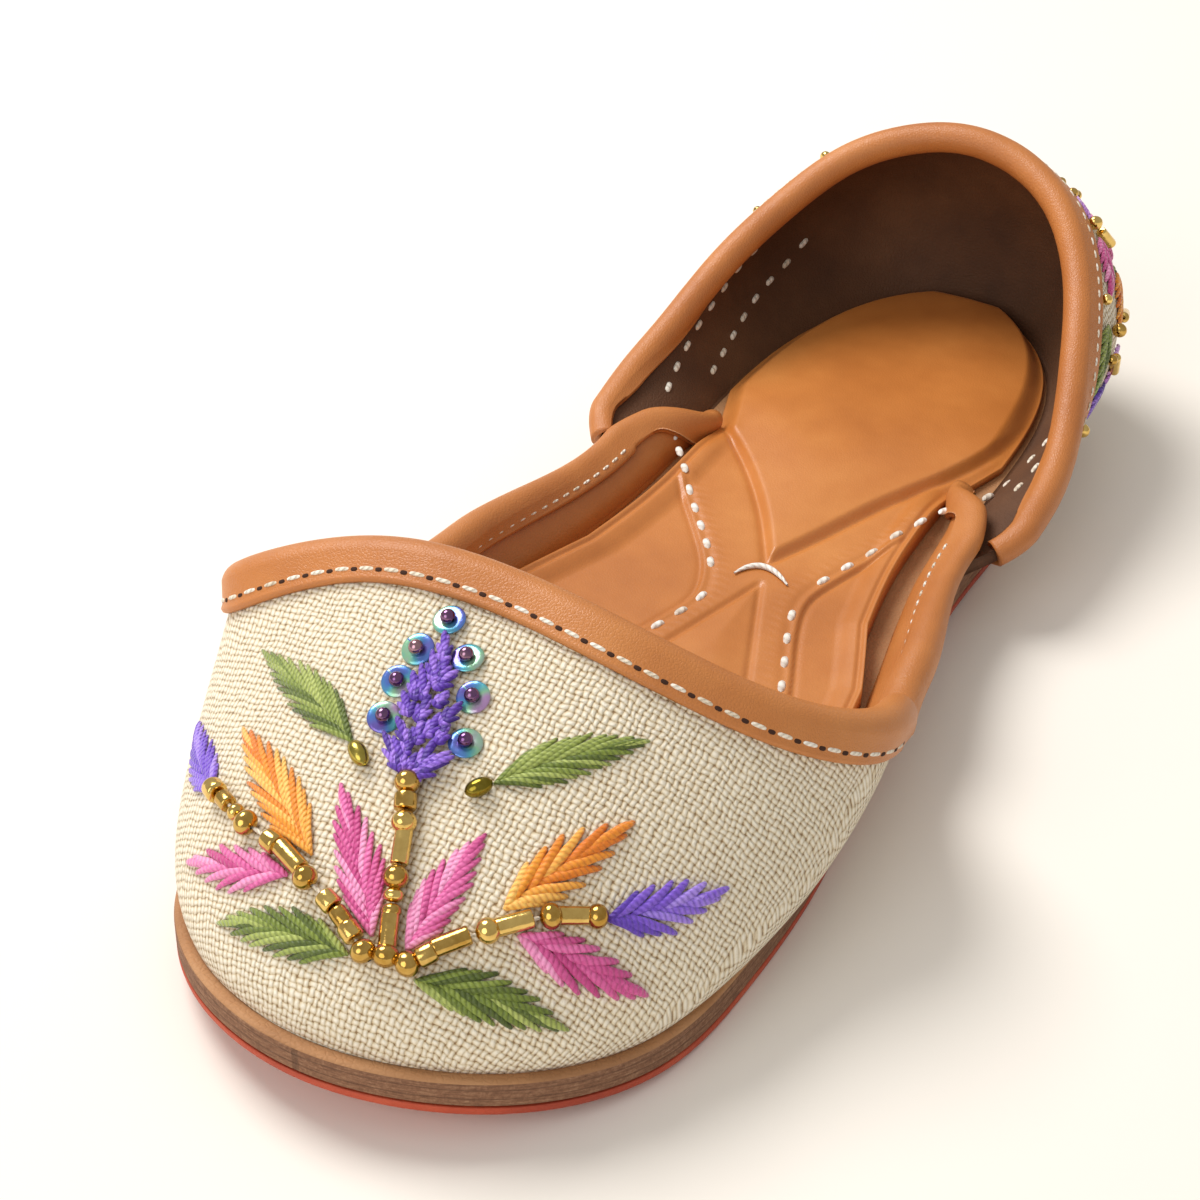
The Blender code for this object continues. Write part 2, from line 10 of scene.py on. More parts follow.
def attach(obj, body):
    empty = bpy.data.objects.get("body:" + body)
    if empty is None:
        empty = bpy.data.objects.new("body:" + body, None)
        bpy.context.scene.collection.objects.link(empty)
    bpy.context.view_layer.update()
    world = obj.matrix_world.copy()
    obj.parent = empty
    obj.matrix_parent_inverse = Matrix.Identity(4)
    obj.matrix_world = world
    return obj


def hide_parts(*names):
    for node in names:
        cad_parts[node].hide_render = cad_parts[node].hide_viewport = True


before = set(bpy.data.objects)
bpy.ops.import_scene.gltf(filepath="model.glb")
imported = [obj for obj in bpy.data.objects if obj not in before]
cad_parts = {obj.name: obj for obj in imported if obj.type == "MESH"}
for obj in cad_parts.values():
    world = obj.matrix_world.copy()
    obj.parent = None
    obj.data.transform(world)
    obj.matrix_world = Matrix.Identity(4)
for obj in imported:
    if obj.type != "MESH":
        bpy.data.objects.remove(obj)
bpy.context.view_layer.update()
mm = 0.001
dice = np.random.default_rng(7)  # every chance draw comes from these, in the file's order

# The camera, found by fitting the sole's outline and the topline to the photo.
# Angles in degrees, lengths in mm, the picture and the focal length in pixels.
camera = {
    "azimuth": 28.2,
    "elevation": 35.3,
    "roll": 0.8,
    "focal": 2603.0,
    "distance": 460.4,
    "target": (-22.9, 3.7, 0.7),
    "picture": 1200.0,
    "sensor": 36.0,
    "clipStart": 0.01,
}

# The last and the sole, with the same sizes as the solids. Lengths in mm, shares of the length from the toe.
last = {
    "length": 248.0,
    "ball": 86.0,
    "heel": 66.0,
    "toeSpring": 6.5,
    "archRise": 1.8,
    "outsole": 1.6,
    "midsoleBall": 4.5,
    "midsoleHeel": 7.2,
    "ledge": 2.4,
    "throatRise": 41.3,
    "waistRise": 8.6,
    "backRise": 45.0,
    "slantCorner": 7.4,
    "tilt": 4.4,
    "tiltCorner": -1.3,
    "vampWall": 2.0,
    "quarterWall": 2.2,
    "quarterStep": 1.7,
    "lean": 6.4,
    "gap": 0.3,
    "toeBend": 0.19,
    "archStart": 0.36,
    "archEnd": 0.74,
    "wedgeStart": 0.30,
    "wedgeEnd": 0.80,
    "slantStart": 0.28,
    "slantEnd": 0.58,
    "quarterFront": 0.592,
    "quarterFull": 0.634,
    "wingEnd": 0.692,
    "wingSink": 0.45,
    "leanStart": 0.10,
    "leanEnd": 1.00,
    "leanLead": 0.15,
    "frontStart": 0.30,
    "stepStart": 0.45,
    "stepEnd": 0.62,
    "springPower": 1.7,
    "footSink": 1.0,
    "outlinePoints": 1200,
    "sectionPoints": 49,
}
ballDeck = last["outsole"] + last["midsoleBall"] + 2 * last["gap"]

Outline = namedtuple("Outline", "along ball heel")
outline = [
    Outline(0.000, 0.00, 0.00),
    Outline(0.014, 0.37, 0.00),
    Outline(0.048, 0.67, 0.00),
    Outline(0.117, 0.93, 0.00),
    Outline(0.198, 1.00, 0.00),
    Outline(0.298, 1.00, 0.00),
    Outline(0.400, 0.91, 0.03),
    Outline(0.500, 0.65, 0.27),
    Outline(0.600, 0.34, 0.58),
    Outline(0.700, 0.12, 0.85),
    Outline(0.800, 0.00, 1.00),
    Outline(0.885, 0.00, 0.90),
    Outline(0.945, 0.00, 0.69),
    Outline(0.985, 0.00, 0.37),
    Outline(1.000, 0.00, 0.00),
]
Section = namedtuple(
    "Section", "foot along width throat waist back lowIn lowOut lowUp highIn highOut highUp"
)
sections = [
    Section(0.000, 0.249, 0.000, 1.09, 0.00, 0.000, 0.00, 0.01, 0.22, 0.42, 0.00, 0.07),
    Section(0.062, 0.246, 0.332, 1.08, 0.00, 0.000, 0.00, 0.06, 0.22, 0.42, 0.01, 0.07),
    Section(0.128, 0.249, 0.676, 0.98, 0.00, 0.000, 0.00, 0.12, 0.22, 0.40, 0.02, 0.06),
    Section(0.200, 0.258, 0.999, 0.82, 0.00, 0.000, 0.00, 0.19, 0.22, 0.36, 0.05, 0.04),
    Section(0.262, 0.284, 1.145, 0.69, 0.00, 0.000, 0.00, 0.29, 0.26, 0.33, 0.09, 0.01),
    Section(0.322, 0.333, 1.125, 0.46, 0.49, 0.000, 0.00, 0.26, 0.30, 0.33, 0.13, 0.00),
    Section(0.385, 0.385, 1.045, 0.14, 0.82, 0.000, 0.00, 0.18, 0.33, 0.33, 0.13, 0.00),
    Section(0.470, 0.461, 0.975, 0.04, 1.00, 0.000, 0.00, 0.09, 0.36, 0.33, 0.08, 0.00),
    Section(0.545, 0.550, 0.965, 0.00, 1.00, 0.000, 0.00, 0.03, 0.36, 0.33, 0.03, 0.00),
    Section(0.598, 0.613, 0.971, 0.00, 0.96, 0.000, 0.00, 0.02, 0.36, 0.33, 0.00, 0.00),
    Section(0.640, 0.660, 0.972, 0.00, 0.79, 0.072, 0.00, 0.03, 0.34, 0.33, 0.04, 0.00),
    Section(0.678, 0.705, 0.965, 0.00, 0.53, 0.185, 0.00, 0.07, 0.32, 0.33, 0.12, 0.00),
    Section(0.722, 0.754, 0.900, 0.00, 0.25, 0.340, 0.00, 0.18, 0.28, 0.33, 0.26, 0.00),
    Section(0.775, 0.810, 0.795, 0.00, 0.00, 0.565, 0.00, 0.27, 0.25, 0.33, 0.38, 0.00),
    Section(0.825, 0.864, 0.665, 0.00, 0.00, 0.718, 0.00, 0.29, 0.24, 0.33, 0.46, 0.00),
    Section(0.880, 0.904, 0.480, 0.00, 0.00, 0.872, 0.00, 0.23, 0.24, 0.33, 0.48, 0.00),
    Section(0.940, 0.929, 0.232, 0.00, 0.00, 0.965, 0.00, 0.12, 0.24, 0.33, 0.44, 0.00),
    Section(1.000, 0.934, 0.000, 0.00, 0.00, 1.000, 0.00, 0.04, 0.24, 0.33, 0.33, 0.00),
]


def smooth(start, end, value):
    # 0 before start and 1 after end, with 3 * s ** 2 - 2 * s ** 3 between
    share = np.clip((value - start) / (end - start), 0.0, 1.0)
    return share * share * (3.0 - 2.0 * share)


def unit(rows):
    # Each row divided by its own length
    return rows / np.maximum(np.linalg.norm(rows, axis=-1, keepdims=True), 1e-9)


def splineThrough(knots, rows, at):
    # Natural cubic spline through rows of numbers
    steps = np.diff(knots)
    slopes = np.diff(rows, axis=0) / steps[:, None]
    system = np.eye(len(knots))
    right = np.zeros_like(rows)
    for row in range(1, len(knots) - 1):
        system[row, row - 1 : row + 2] = (
            steps[row - 1],
            2.0 * (steps[row - 1] + steps[row]),
            steps[row],
        )
        right[row] = 6.0 * (slopes[row] - slopes[row - 1])
    bend = np.linalg.solve(system, right)
    left = np.clip(np.searchsorted(knots, at) - 1, 0, len(knots) - 2)
    step = steps[left][:, None]
    before = (knots[left + 1] - at)[:, None]
    after = (at - knots[left])[:, None]
    return (
        bend[left] * before**3 / (6.0 * step)
        + bend[left + 1] * after**3 / (6.0 * step)
        + (rows[left] / step - bend[left] * step / 6.0) * before
        + (rows[left + 1] / step - bend[left + 1] * step / 6.0) * after
    )


def mirroredEnds(knots, rows, sides, reach=4):
    # Rows carried on past both ends as their mirror image, so that a spline crosses the middle squarely
    head = rows[reach:0:-1] * sides
    tail = rows[-2 : -reach - 2 : -1] * sides
    before = 2.0 * knots[0] - knots[reach:0:-1]
    after = 2.0 * knots[-1] - knots[-2 : -reach - 2 : -1]
    return np.concatenate([before, knots, after]), np.concatenate([head, rows, tail])


def walkedAlong(points):
    # Length walked from the first point to each, along the last axis but one
    steps = np.linalg.norm(np.diff(points, axis=-2), axis=-1)
    return np.concatenate([np.zeros(steps.shape[:-1] + (1,)), np.cumsum(steps, axis=-1)], axis=-1)


def readAlong(at, places, rows):
    # Each column of rows read at new places, on straight lines between the known ones
    return np.stack([np.interp(at, places, column) for column in rows.T], axis=-1)


def soleOutline():
    corners = np.array(
        [
            (
                row.ball * last["ball"] / 2 + row.heel * last["heel"] / 2,
                (row.along - 0.5) * last["length"],
            )
            for row in outline
        ]
    )
    knots, rows = mirroredEnds(walkedAlong(corners), corners, np.array([-1.0, 1.0]))
    points = splineThrough(knots, rows, np.linspace(0.0, walkedAlong(corners)[-1], last["outlinePoints"]))
    tangents = np.gradient(points, axis=0)
    tangents[[0, -1], 1] = 0.0
    normals = unit(np.stack([tangents[:, 1], -tangents[:, 0]], axis=1))
    walked = walkedAlong(points)
    return walked / walked[-1], points, normals


soleShares, solePoints, soleNormals = soleOutline()


def onOutline(foot, inset=0.0):
    # (x, y) at a share of the way round from toe to heel, moved inwards, and the normal there
    point = readAlong(foot, soleShares, solePoints)
    normal = unit(readAlong(foot, soleShares, soleNormals))
    return point - normal * np.asarray(inset)[..., None], normal


def alongSole(y):
    return y / last["length"] + 0.5


def toeRise(y):
    # toeSpring * (1 - along / toeBend) ** springPower, and flat behind the bend
    return last["toeSpring"] * np.clip(1.0 - alongSole(y) / last["toeBend"], 0.0, 1.0) ** last["springPower"]


def underside(y):
    # The toe's rise, and archRise * sin(pi * share of the arch) ** 2
    arch = np.clip((alongSole(y) - last["archStart"]) / (last["archEnd"] - last["archStart"]), 0.0, 1.0)
    return toeRise(y) + last["archRise"] * np.sin(math.pi * arch) ** 2


def midsoleTop(y):
    # A plate that thickens smoothly from the ball to the heel
    wedge = smooth(last["wedgeStart"], last["wedgeEnd"], alongSole(y))
    wedge = wedge * (last["midsoleHeel"] - last["midsoleBall"])
    return last["outsole"] + last["gap"] + last["midsoleBall"] + toeRise(y) + wedge


def featherInset(foot):
    # How far the wall's foot stands in from the sole's edge
    return last["ledge"] + last["quarterStep"] * smooth(last["stepStart"], last["stepEnd"], foot)


def sectionKnots():
    # A section's place: the length walked along the topline and the foot together, as a share
    table = np.array(sections)
    tops = np.stack([table[:, 2] * last["ball"] / 2, table[:, 1] * last["length"]], axis=1)
    feet = onOutline(table[:, 0])[0]
    walked = walkedAlong(tops) + walkedAlong(feet)
    return walked / walked[-1]


knots, knotRows = mirroredEnds(
    sectionKnots(), np.array(sections), np.array([-1.0, 1.0, -1.0] + [1.0] * 9)
)
knotRows[:4, 0] = -np.abs(knotRows[:4, 0])
knotRows[-4:, 0] = 2.0 - np.abs(knotRows[-4:, 0])


def folded(way):
    # A way round the shoe, with the far side folded onto the near one
    return 1.0 - np.abs(1.0 - np.abs(way))


def sectionCurves(way):
    # Sections of the last from feather line to topline: Bezier curves with two handles
    row = Section(*splineThrough(knots, knotRows, folded(way)).T)
    flat, normal = onOutline(row.foot, featherInset(row.foot))
    foot = np.column_stack([flat, midsoleTop(flat[:, 1]) - last["footSink"]])
    rise = row.throat * last["throatRise"] + row.waist * last["waistRise"] + row.back * last["backRise"]
    top = np.column_stack(
        [row.width * last["ball"] / 2, (row.along - 0.5) * last["length"], ballDeck + rise]
    )
    chord = np.linalg.norm(top - foot, axis=1)[:, None]
    out = np.column_stack([normal, np.zeros(len(way))])
    up = chord * np.array([0.0, 0.0, 1.0])
    low = foot + (top - foot) * row.lowIn[:, None] + out * chord * row.lowOut[:, None]
    low = low + up * row.lowUp[:, None]
    high = top + (foot - top) * row.highIn[:, None] + out * chord * row.highOut[:, None]
    high = high + up * row.highUp[:, None]
    t = np.linspace(0.0, 1.0, last["sectionPoints"])[None, :, None]
    curve = foot[:, None] * (1 - t) ** 3 + 3 * low[:, None] * t * (1 - t) ** 2
    curve = curve + 3 * high[:, None] * t**2 * (1 - t) + top[:, None] * t**3
    return curve, walkedAlong(curve), out


def readRow(table, values, target):
    # For each row, where target lies among its rising table, read from values
    index = np.clip((table < target[:, None]).sum(axis=1) - 1, 0, table.shape[1] - 2)
    pick = np.arange(len(table))
    start, end = table[pick, index], table[pick, index + 1]
    share = ((target - start) / np.maximum(end - start, 1e-9))[:, None]
    values = values.reshape(len(table), table.shape[1], -1)
    return values[pick, index] * (1 - share) + values[pick, index + 1] * share


def lastPoints(way, share, lean):
    # Points of the last, leant inwards, with the throat turned and tilted towards its outer corner
    curve, walked, out = sectionCurves(way)
    found = readRow(walked, curve, np.clip(share, 0.0, 1.0) * walked[:, -1])
    side = np.where((way >= 0.0) & (way <= 1.0), 1.0, -1.0)
    aside = side * found[:, 0] / (last["ball"] / 2)
    along = alongSole(found[:, 1])
    fade = np.clip(share, 0.0, 1.0) * (1.0 - smooth(last["slantStart"], last["slantEnd"], along))
    slant = last["slantCorner"] * aside**3 * fade
    tilt = (last["tilt"] * aside + last["tiltCorner"] * aside**3) * fade
    found = found - out * lean[:, None]
    found[:, 0] *= side
    found[:, 1] += slant
    found[:, 2] -= tilt
    return found


def vampEdge(way):
    # How far up the last the vamp reaches: all the way round the throat, and a low wing behind it
    curve, walked, _ = sectionCurves(way)
    wingHeight = np.full(len(way), ballDeck + last["waistRise"])
    share = readRow(curve[:, :, 2], walked / walked[:, -1:], wingHeight)[:, 0]
    full = (folded(way) < last["quarterFront"]) | (curve[:, -1, 2] <= wingHeight)
    sunk = 1.0 - last["wingSink"] * smooth(last["quarterFull"], last["wingEnd"], folded(way))
    return np.where(full, 1.0, np.clip(share, 0.0, 1.0)) * sunk


def quarterEdge(way):
    # How far up the last the quarter reaches: a quarter turn of a sine at each front end, then all the way
    span = last["quarterFull"] - last["quarterFront"]
    rise = np.clip((folded(way) - last["quarterFront"]) / span, 0.0, 1.0)
    return last["frontStart"] + (1.0 - last["frontStart"]) * np.sin(rise * math.pi / 2)


def skinPoints(skin, way, share):
    # Points of a skin in mm, for arrays of ways round the shoe and shares up the wall
    way, share = np.broadcast_arrays(np.asarray(way, float), np.asarray(share, float))
    shape, way, share = way.shape, way.ravel(), share.ravel()
    if skin == "quarter":
        found = lastPoints(way, share * quarterEdge(way), np.zeros(len(way)))
    else:
        lap = smooth(last["quarterFront"] - last["leanLead"], last["quarterFront"], folded(way))
        height = np.clip((share - last["leanStart"]) / (last["leanEnd"] - last["leanStart"]), 0.0, 1.0)
        found = lastPoints(way, share * vampEdge(way), last["lean"] * lap * height)
    return found.reshape(shape + (3,))


skinStep = {"way": 0.002, "share": 0.03, "lowest": 0.3}


def skinFrame(skin, way, share):
    # Point, its change along the way and up the wall, and the outward normal
    step = skinStep["way"]
    along = (skinPoints(skin, way + step, share) - skinPoints(skin, way - step, share)) / (2 * step)
    low = np.maximum(share - skinStep["share"], 0.0)
    high = np.minimum(share + skinStep["share"], 1.0)
    up = (skinPoints(skin, way, high) - skinPoints(skin, way, low)) / (high - low)[..., None]
    return skinPoints(skin, way, share), along, up, unit(np.cross(along, up))


# The camera's own frame, for placing a piece where the photo shows it
def cameraFrame():
    azimuth, elevation, roll = np.radians([camera["azimuth"], camera["elevation"], camera["roll"]])
    back = np.array(
        [
            math.sin(azimuth) * math.cos(elevation),
            -math.cos(azimuth) * math.cos(elevation),
            math.sin(elevation),
        ]
    )
    right = np.array([math.cos(azimuth), math.sin(azimuth), 0.0])
    up = np.cross(back, right)
    turned = right * math.cos(roll) + up * math.sin(roll)
    upright = -right * math.sin(roll) + up * math.cos(roll)
    return np.array(camera["target"]) + back * camera["distance"], turned, upright, back


eye, eyeRight, eyeUp, eyeBack = cameraFrame()


def toPixels(points):
    # Where points in mm fall in the photo, in pixels from its top left corner
    away = points - eye
    across = camera["focal"] * np.stack([away @ eyeRight, -(away @ eyeUp)], axis=-1)
    return camera["picture"] / 2 + across / -(away @ eyeBack)[..., None]


# Meshes. Points are in mm, and each piece rides on the root.
def makeMesh(name, points, faces, materials, uv=None, slots=None, shade=None):
    mesh = bpy.data.meshes.new(name)
    faces = faces.tolist() if isinstance(faces, np.ndarray) else faces
    mesh.from_pydata((np.asarray(points).reshape(-1, 3) * mm).tolist(), [], faces)
    loops = np.zeros(len(mesh.loops), np.int32)
    mesh.loops.foreach_get("vertex_index", loops)
    if uv is not None:
        layer = mesh.uv_layers.new(name="mm")
        layer.data.foreach_set("uv", np.asarray(uv, np.float32).reshape(-1, 2)[loops].ravel())
    if shade is not None:
        layer = mesh.attributes.new("shade", "FLOAT", "POINT")
        layer.data.foreach_set("value", np.asarray(shade, np.float32).ravel())
    for material in materials:
        mesh.materials.append(material)
    if slots is not None:
        mesh.polygons.foreach_set("material_index", np.asarray(slots, np.int32))
    mesh.shade_smooth()
    obj = bpy.data.objects.new(name, mesh)
    bpy.context.scene.collection.objects.link(obj)
    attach(obj, "root")
    return obj


def recalculate(obj):
    # Turns every face outwards
    shape = bmesh.new()
    shape.from_mesh(obj.data)
    bmesh.ops.recalc_face_normals(shape, faces=shape.faces)
    shape.to_mesh(obj.data)
    shape.free()


def makeSet(name, made, material):
    # One piece from a set of (points, faces, uv, shade)
    points, faces, uv, shade = made
    obj = makeMesh(name, points, faces, [material], uv, None, shade)
    recalculate(obj)


def gridFaces(rows, columns, wrapRows=False, wrapColumns=False, start=0):
    # Quads between the points of a grid, which can wrap either way
    a = np.arange(rows if wrapRows else rows - 1)[:, None]
    b = np.arange(columns if wrapColumns else columns - 1)[None, :]
    nextA, nextB = (a + 1) % rows, (b + 1) % columns
    corners = [a * columns + b, nextA * columns + b, nextA * columns + nextB, a * columns + nextB]
    return np.stack(corners, axis=-1).reshape(-1, 4) + start


def sheetFaces(rows, columns):
    # The three face sets of a closed sheet: its front, its back and the rim that joins their edges
    half = rows * columns
    loop = np.concatenate(
        [
            np.arange(rows) * columns,
            (rows - 1) * columns + np.arange(1, columns),
            (rows - 2 - np.arange(rows - 1)) * columns + columns - 1,
            np.arange(columns - 2, 0, -1),
        ]
    )
    following = np.roll(loop, -1)
    rim = np.stack([loop, following, following + half, loop + half], axis=1)
    return gridFaces(rows, columns), gridFaces(rows, columns, start=half)[:, ::-1], rim


def stamp(points, faces, uv, origins, axes, scales, shades):
    # One small shape copied to many places: point = origin + axes turned by the frame and scaled
    count = len(origins)
    placed = np.einsum("pk,nkj->npj", points, axes * scales[:, :, None]) + origins[:, None]
    shift = (np.arange(count) * len(points))[:, None, None]
    allFaces = (faces[None] + shift).reshape(-1, faces.shape[1])
    allUv = np.broadcast_to(uv, (count,) + uv.shape).reshape(-1, 2)
    return placed.reshape(-1, 3), allFaces, allUv, np.repeat(shades, len(points))


def tubes(paths, ups, radii, sides, flat, shades):
    # Strands along many paths, open at both ends. A ring is radius * (cos a * side + flat * sin a * up).
    tangents = unit(np.gradient(paths, axis=1))
    side = unit(np.cross(tangents, ups))
    up = np.cross(side, tangents)
    turn = np.linspace(0.0, 2 * math.pi, sides, endpoint=False)
    ring = np.cos(turn)[:, None] * side[:, :, None] + flat * np.sin(turn)[:, None] * up[:, :, None]
    points = paths[:, :, None] + ring * radii[..., None]
    count, steps = paths.shape[:2]
    one = gridFaces(steps, sides, wrapColumns=True)
    faces = (one[None] + (np.arange(count) * steps * sides)[:, None, None]).reshape(-1, 4)
    walked = walkedAlong(paths)[:, :, None]
    uv = np.stack(np.broadcast_arrays(walked, turn / (2 * math.pi) + 0 * walked), axis=-1)
    return points.reshape(-1, 3), faces, uv.reshape(-1, 2), np.repeat(shades, steps * sides)


def lathe(x, radius, sides):
    # A profile turned round the x axis: points (x, radius * cos a, radius * sin a), and u = x, v = turns
    turn = np.linspace(0.0, 2 * math.pi, sides, endpoint=False)
    x, radius = x[:, None] + 0 * turn, radius[:, None]
    points = np.stack([x, radius * np.cos(turn), radius * np.sin(turn)], axis=-1)
    return points, np.stack([x, turn / (2 * math.pi) + 0 * x], axis=-1)


def joined(parts):
    # Several (points, faces, uv, shade) sets as one
    points, faces, uv, shade = zip(*parts)
    starts = np.cumsum([0] + [len(part) for part in points])
    faces = [part + start for part, start in zip(faces, starts)]
    return tuple(np.concatenate(column) for column in (points, faces, uv, shade))


# Materials. Colours are written 0 to 255, as they look, and noise scales are in waves a millimetre.
def linear(colour):
    # The shader wants ((c + 0.055) / 1.055) ** 2.4 of a colour's share
    share = np.array(colour) / 255.0
    return tuple(np.where(share <= 0.04045, share / 12.92, ((share + 0.055) / 1.055) ** 2.4)) + (1.0,)


def startMaterial(name, roughness):
    material = bpy.data.materials.new(name)
    material.use_nodes = True
    tree = material.node_tree
    shader = tree.nodes["Principled BSDF"]
    shader.inputs["Roughness"].default_value = roughness
    return material, tree, shader


def put(tree, kind, settings=None, **inputs):
    # A node with its settings and inputs, where an input is a number or another node's output
    node = tree.nodes.new("ShaderNode" + kind)
    for key, value in (settings or {}).items():
        setattr(node, key, value)
    for key, value in inputs.items():
        socket = node.inputs[int(key[1:])] if key[1:].isdigit() else node.inputs[key.replace("_", " ")]
        if isinstance(value, bpy.types.NodeSocket):
            tree.links.new(value, socket)
        else:
            socket.default_value = value
    return node


def maths(tree, operation, *values):
    inputs = {"i" + str(index): value for index, value in enumerate(values)}
    return put(tree, "Math", {"operation": operation}, **inputs).outputs[0]


def ramp(tree, value, *stops):
    # Colour by value. Each stop is (place, colour).
    node = put(tree, "ValToRGB", None, Fac=value)
    band = node.color_ramp
    while len(band.elements) < len(stops):
        band.elements.new(1.0)
    for element, (place, colour) in zip(band.elements, stops):
        element.position = place
        element.color = linear(colour)
    return node.outputs[0]


def mixed(tree, share, first, second, kind="MIX"):
    node = put(tree, "Mix", {"data_type": "RGBA", "blend_type": kind})
    for index, value in ((0, share), (6, first), (7, second)):
        if isinstance(value, bpy.types.NodeSocket):
            tree.links.new(value, node.inputs[index])
        else:
            node.inputs[index].default_value = linear(value) if isinstance(value, tuple) else value
    return node.outputs[2]


def uvParts(tree):
    split = put(tree, "SeparateXYZ", None, Vector=put(tree, "UVMap", {"uv_map": "mm"}).outputs[0])
    return split.outputs[0], split.outputs[1]


def objectPlace(tree):
    # The object's own coordinates in mm
    place = put(tree, "TexCoord").outputs["Object"]
    return put(tree, "Mapping", None, Vector=place, Scale=(1000.0, 1000.0, 1000.0)).outputs[0]


def noise(tree, place, scale, detail, roughness=0.5):
    return put(tree, "TexNoise", None, Vector=place, Scale=scale, Detail=detail, Roughness=roughness).outputs


def objectNoise(tree, scale, detail=3.0, roughness=0.55):
    return noise(tree, objectPlace(tree), scale, detail, roughness)[0]


def blend(tree, first, share, second, otherShare):
    # first * share + second * otherShare
    first, second = maths(tree, "MULTIPLY", first, share), maths(tree, "MULTIPLY", second, otherShare)
    return maths(tree, "ADD", first, second)


def centred(tree, value, size):
    # A noise from 0 to 1 as a swing of a size either side of nothing
    return maths(tree, "MULTIPLY", maths(tree, "SUBTRACT", value, 0.5), size)


def pieceShade(tree):
    return put(tree, "Attribute", {"attribute_name": "shade"}).outputs["Fac"]


def bumped(tree, shader, height, distance):
    node = put(tree, "Bump", None, Strength=1.0, Distance=distance * mm, Height=height)
    tree.links.new(node.outputs[0], shader.inputs["Normal"])


weave = {
    "pitch": 0.98,
    "wander": 1.5,
    "wanderScale": 0.22,
    "slub": 0.7,
    "slubScale": 0.9,
    "fibre": 0.35,
    "fibreScale": 4.0,
    "cloud": 0.18,
    "cloudScale": 0.05,
    "cloudColour": (206, 186, 150),
    "colours": (
        (0.12, (150, 120, 82)),
        (0.32, (214, 194, 158)),
        (0.58, (238, 225, 198)),
        (0.92, (252, 244, 226)),
    ),
    "roughness": 0.92,
    "sheen": 0.25,
    "specular": 0.25,
    "relief": 0.32,
}


def canvasMaterial():
    # Plain weave in mm: height = max(warp bulge * over, weft bulge * under), with uneven yarns
    material, tree, shader = startMaterial("canvas", weave["roughness"])
    u, v = uvParts(tree)
    place = put(tree, "UVMap", {"uv_map": "mm"}).outputs[0]
    wander = put(tree, "SeparateXYZ", None, Vector=noise(tree, place, weave["wanderScale"], 2.0)[1])
    slub = noise(tree, place, weave["slubScale"], 2.0)[0]
    u = maths(tree, "ADD", u, maths(tree, "MULTIPLY", wander.outputs[0], weave["wander"]))
    v = maths(tree, "ADD", v, maths(tree, "MULTIPLY", wander.outputs[1], weave["wander"]))
    a = maths(tree, "DIVIDE", u, weave["pitch"])
    b = maths(tree, "DIVIDE", v, weave["pitch"])

    def bulge(across):
        # Half round across one yarn: 1 - (2 * fraction - 1) ** 2
        share = maths(tree, "SUBTRACT", maths(tree, "MULTIPLY", maths(tree, "FRACT", across), 2.0), 1.0)
        return maths(tree, "SUBTRACT", 1.0, maths(tree, "MULTIPLY", share, share))

    def over(along, across, start):
        # 1 where a yarn lies on top: half of 1 + sin(pi * (along + yarn number))
        number = maths(tree, "ADD", maths(tree, "FLOOR", across), start)
        wave = maths(tree, "SINE", maths(tree, "MULTIPLY", maths(tree, "ADD", along, number), math.pi))
        return maths(tree, "MULTIPLY_ADD", wave, 0.5, 0.5)

    warp = maths(tree, "MULTIPLY", bulge(a), over(b, a, 0.0))
    weft = maths(tree, "MULTIPLY", bulge(b), over(a, b, 1.0))
    height = maths(tree, "MAXIMUM", warp, weft)
    height = maths(tree, "ADD", height, centred(tree, slub, weave["slub"]))
    fibre = objectNoise(tree, weave["fibreScale"], 4.0)
    height = maths(tree, "ADD", height, centred(tree, fibre, weave["fibre"]))
    # The colour follows the height: darker in the hollows between yarns, which is painted shade, while the
    # slub and fibre noise in the height give tone that differs at random
    colour = ramp(tree, height, *weave["colours"])
    cloudy = maths(tree, "MULTIPLY", objectNoise(tree, weave["cloudScale"], 2.0), weave["cloud"])
    colour = mixed(tree, cloudy, colour, weave["cloudColour"], "MULTIPLY")
    tree.links.new(colour, shader.inputs["Base Color"])
    shader.inputs["Sheen Weight"].default_value = weave["sheen"]
    shader.inputs["Specular IOR Level"].default_value = weave["specular"]
    bumped(tree, shader, height, weave["relief"])
    return material


pebble = {
    "warp": 0.25,
    "warpScale": 0.5,
    "cellEdge": 0.22,
    "cellBlend": 0.1,
    "cellHeight": 3.0,
    "fineScale": 3.0,
    "fineHeight": 0.6,
    "cloudScale": 0.035,
    "crease": 0.05,
    "creaseShade": 0.12,
    "smoother": 0.07,
    "rougher": 0.09,
    "coatRoughness": 0.35,
}


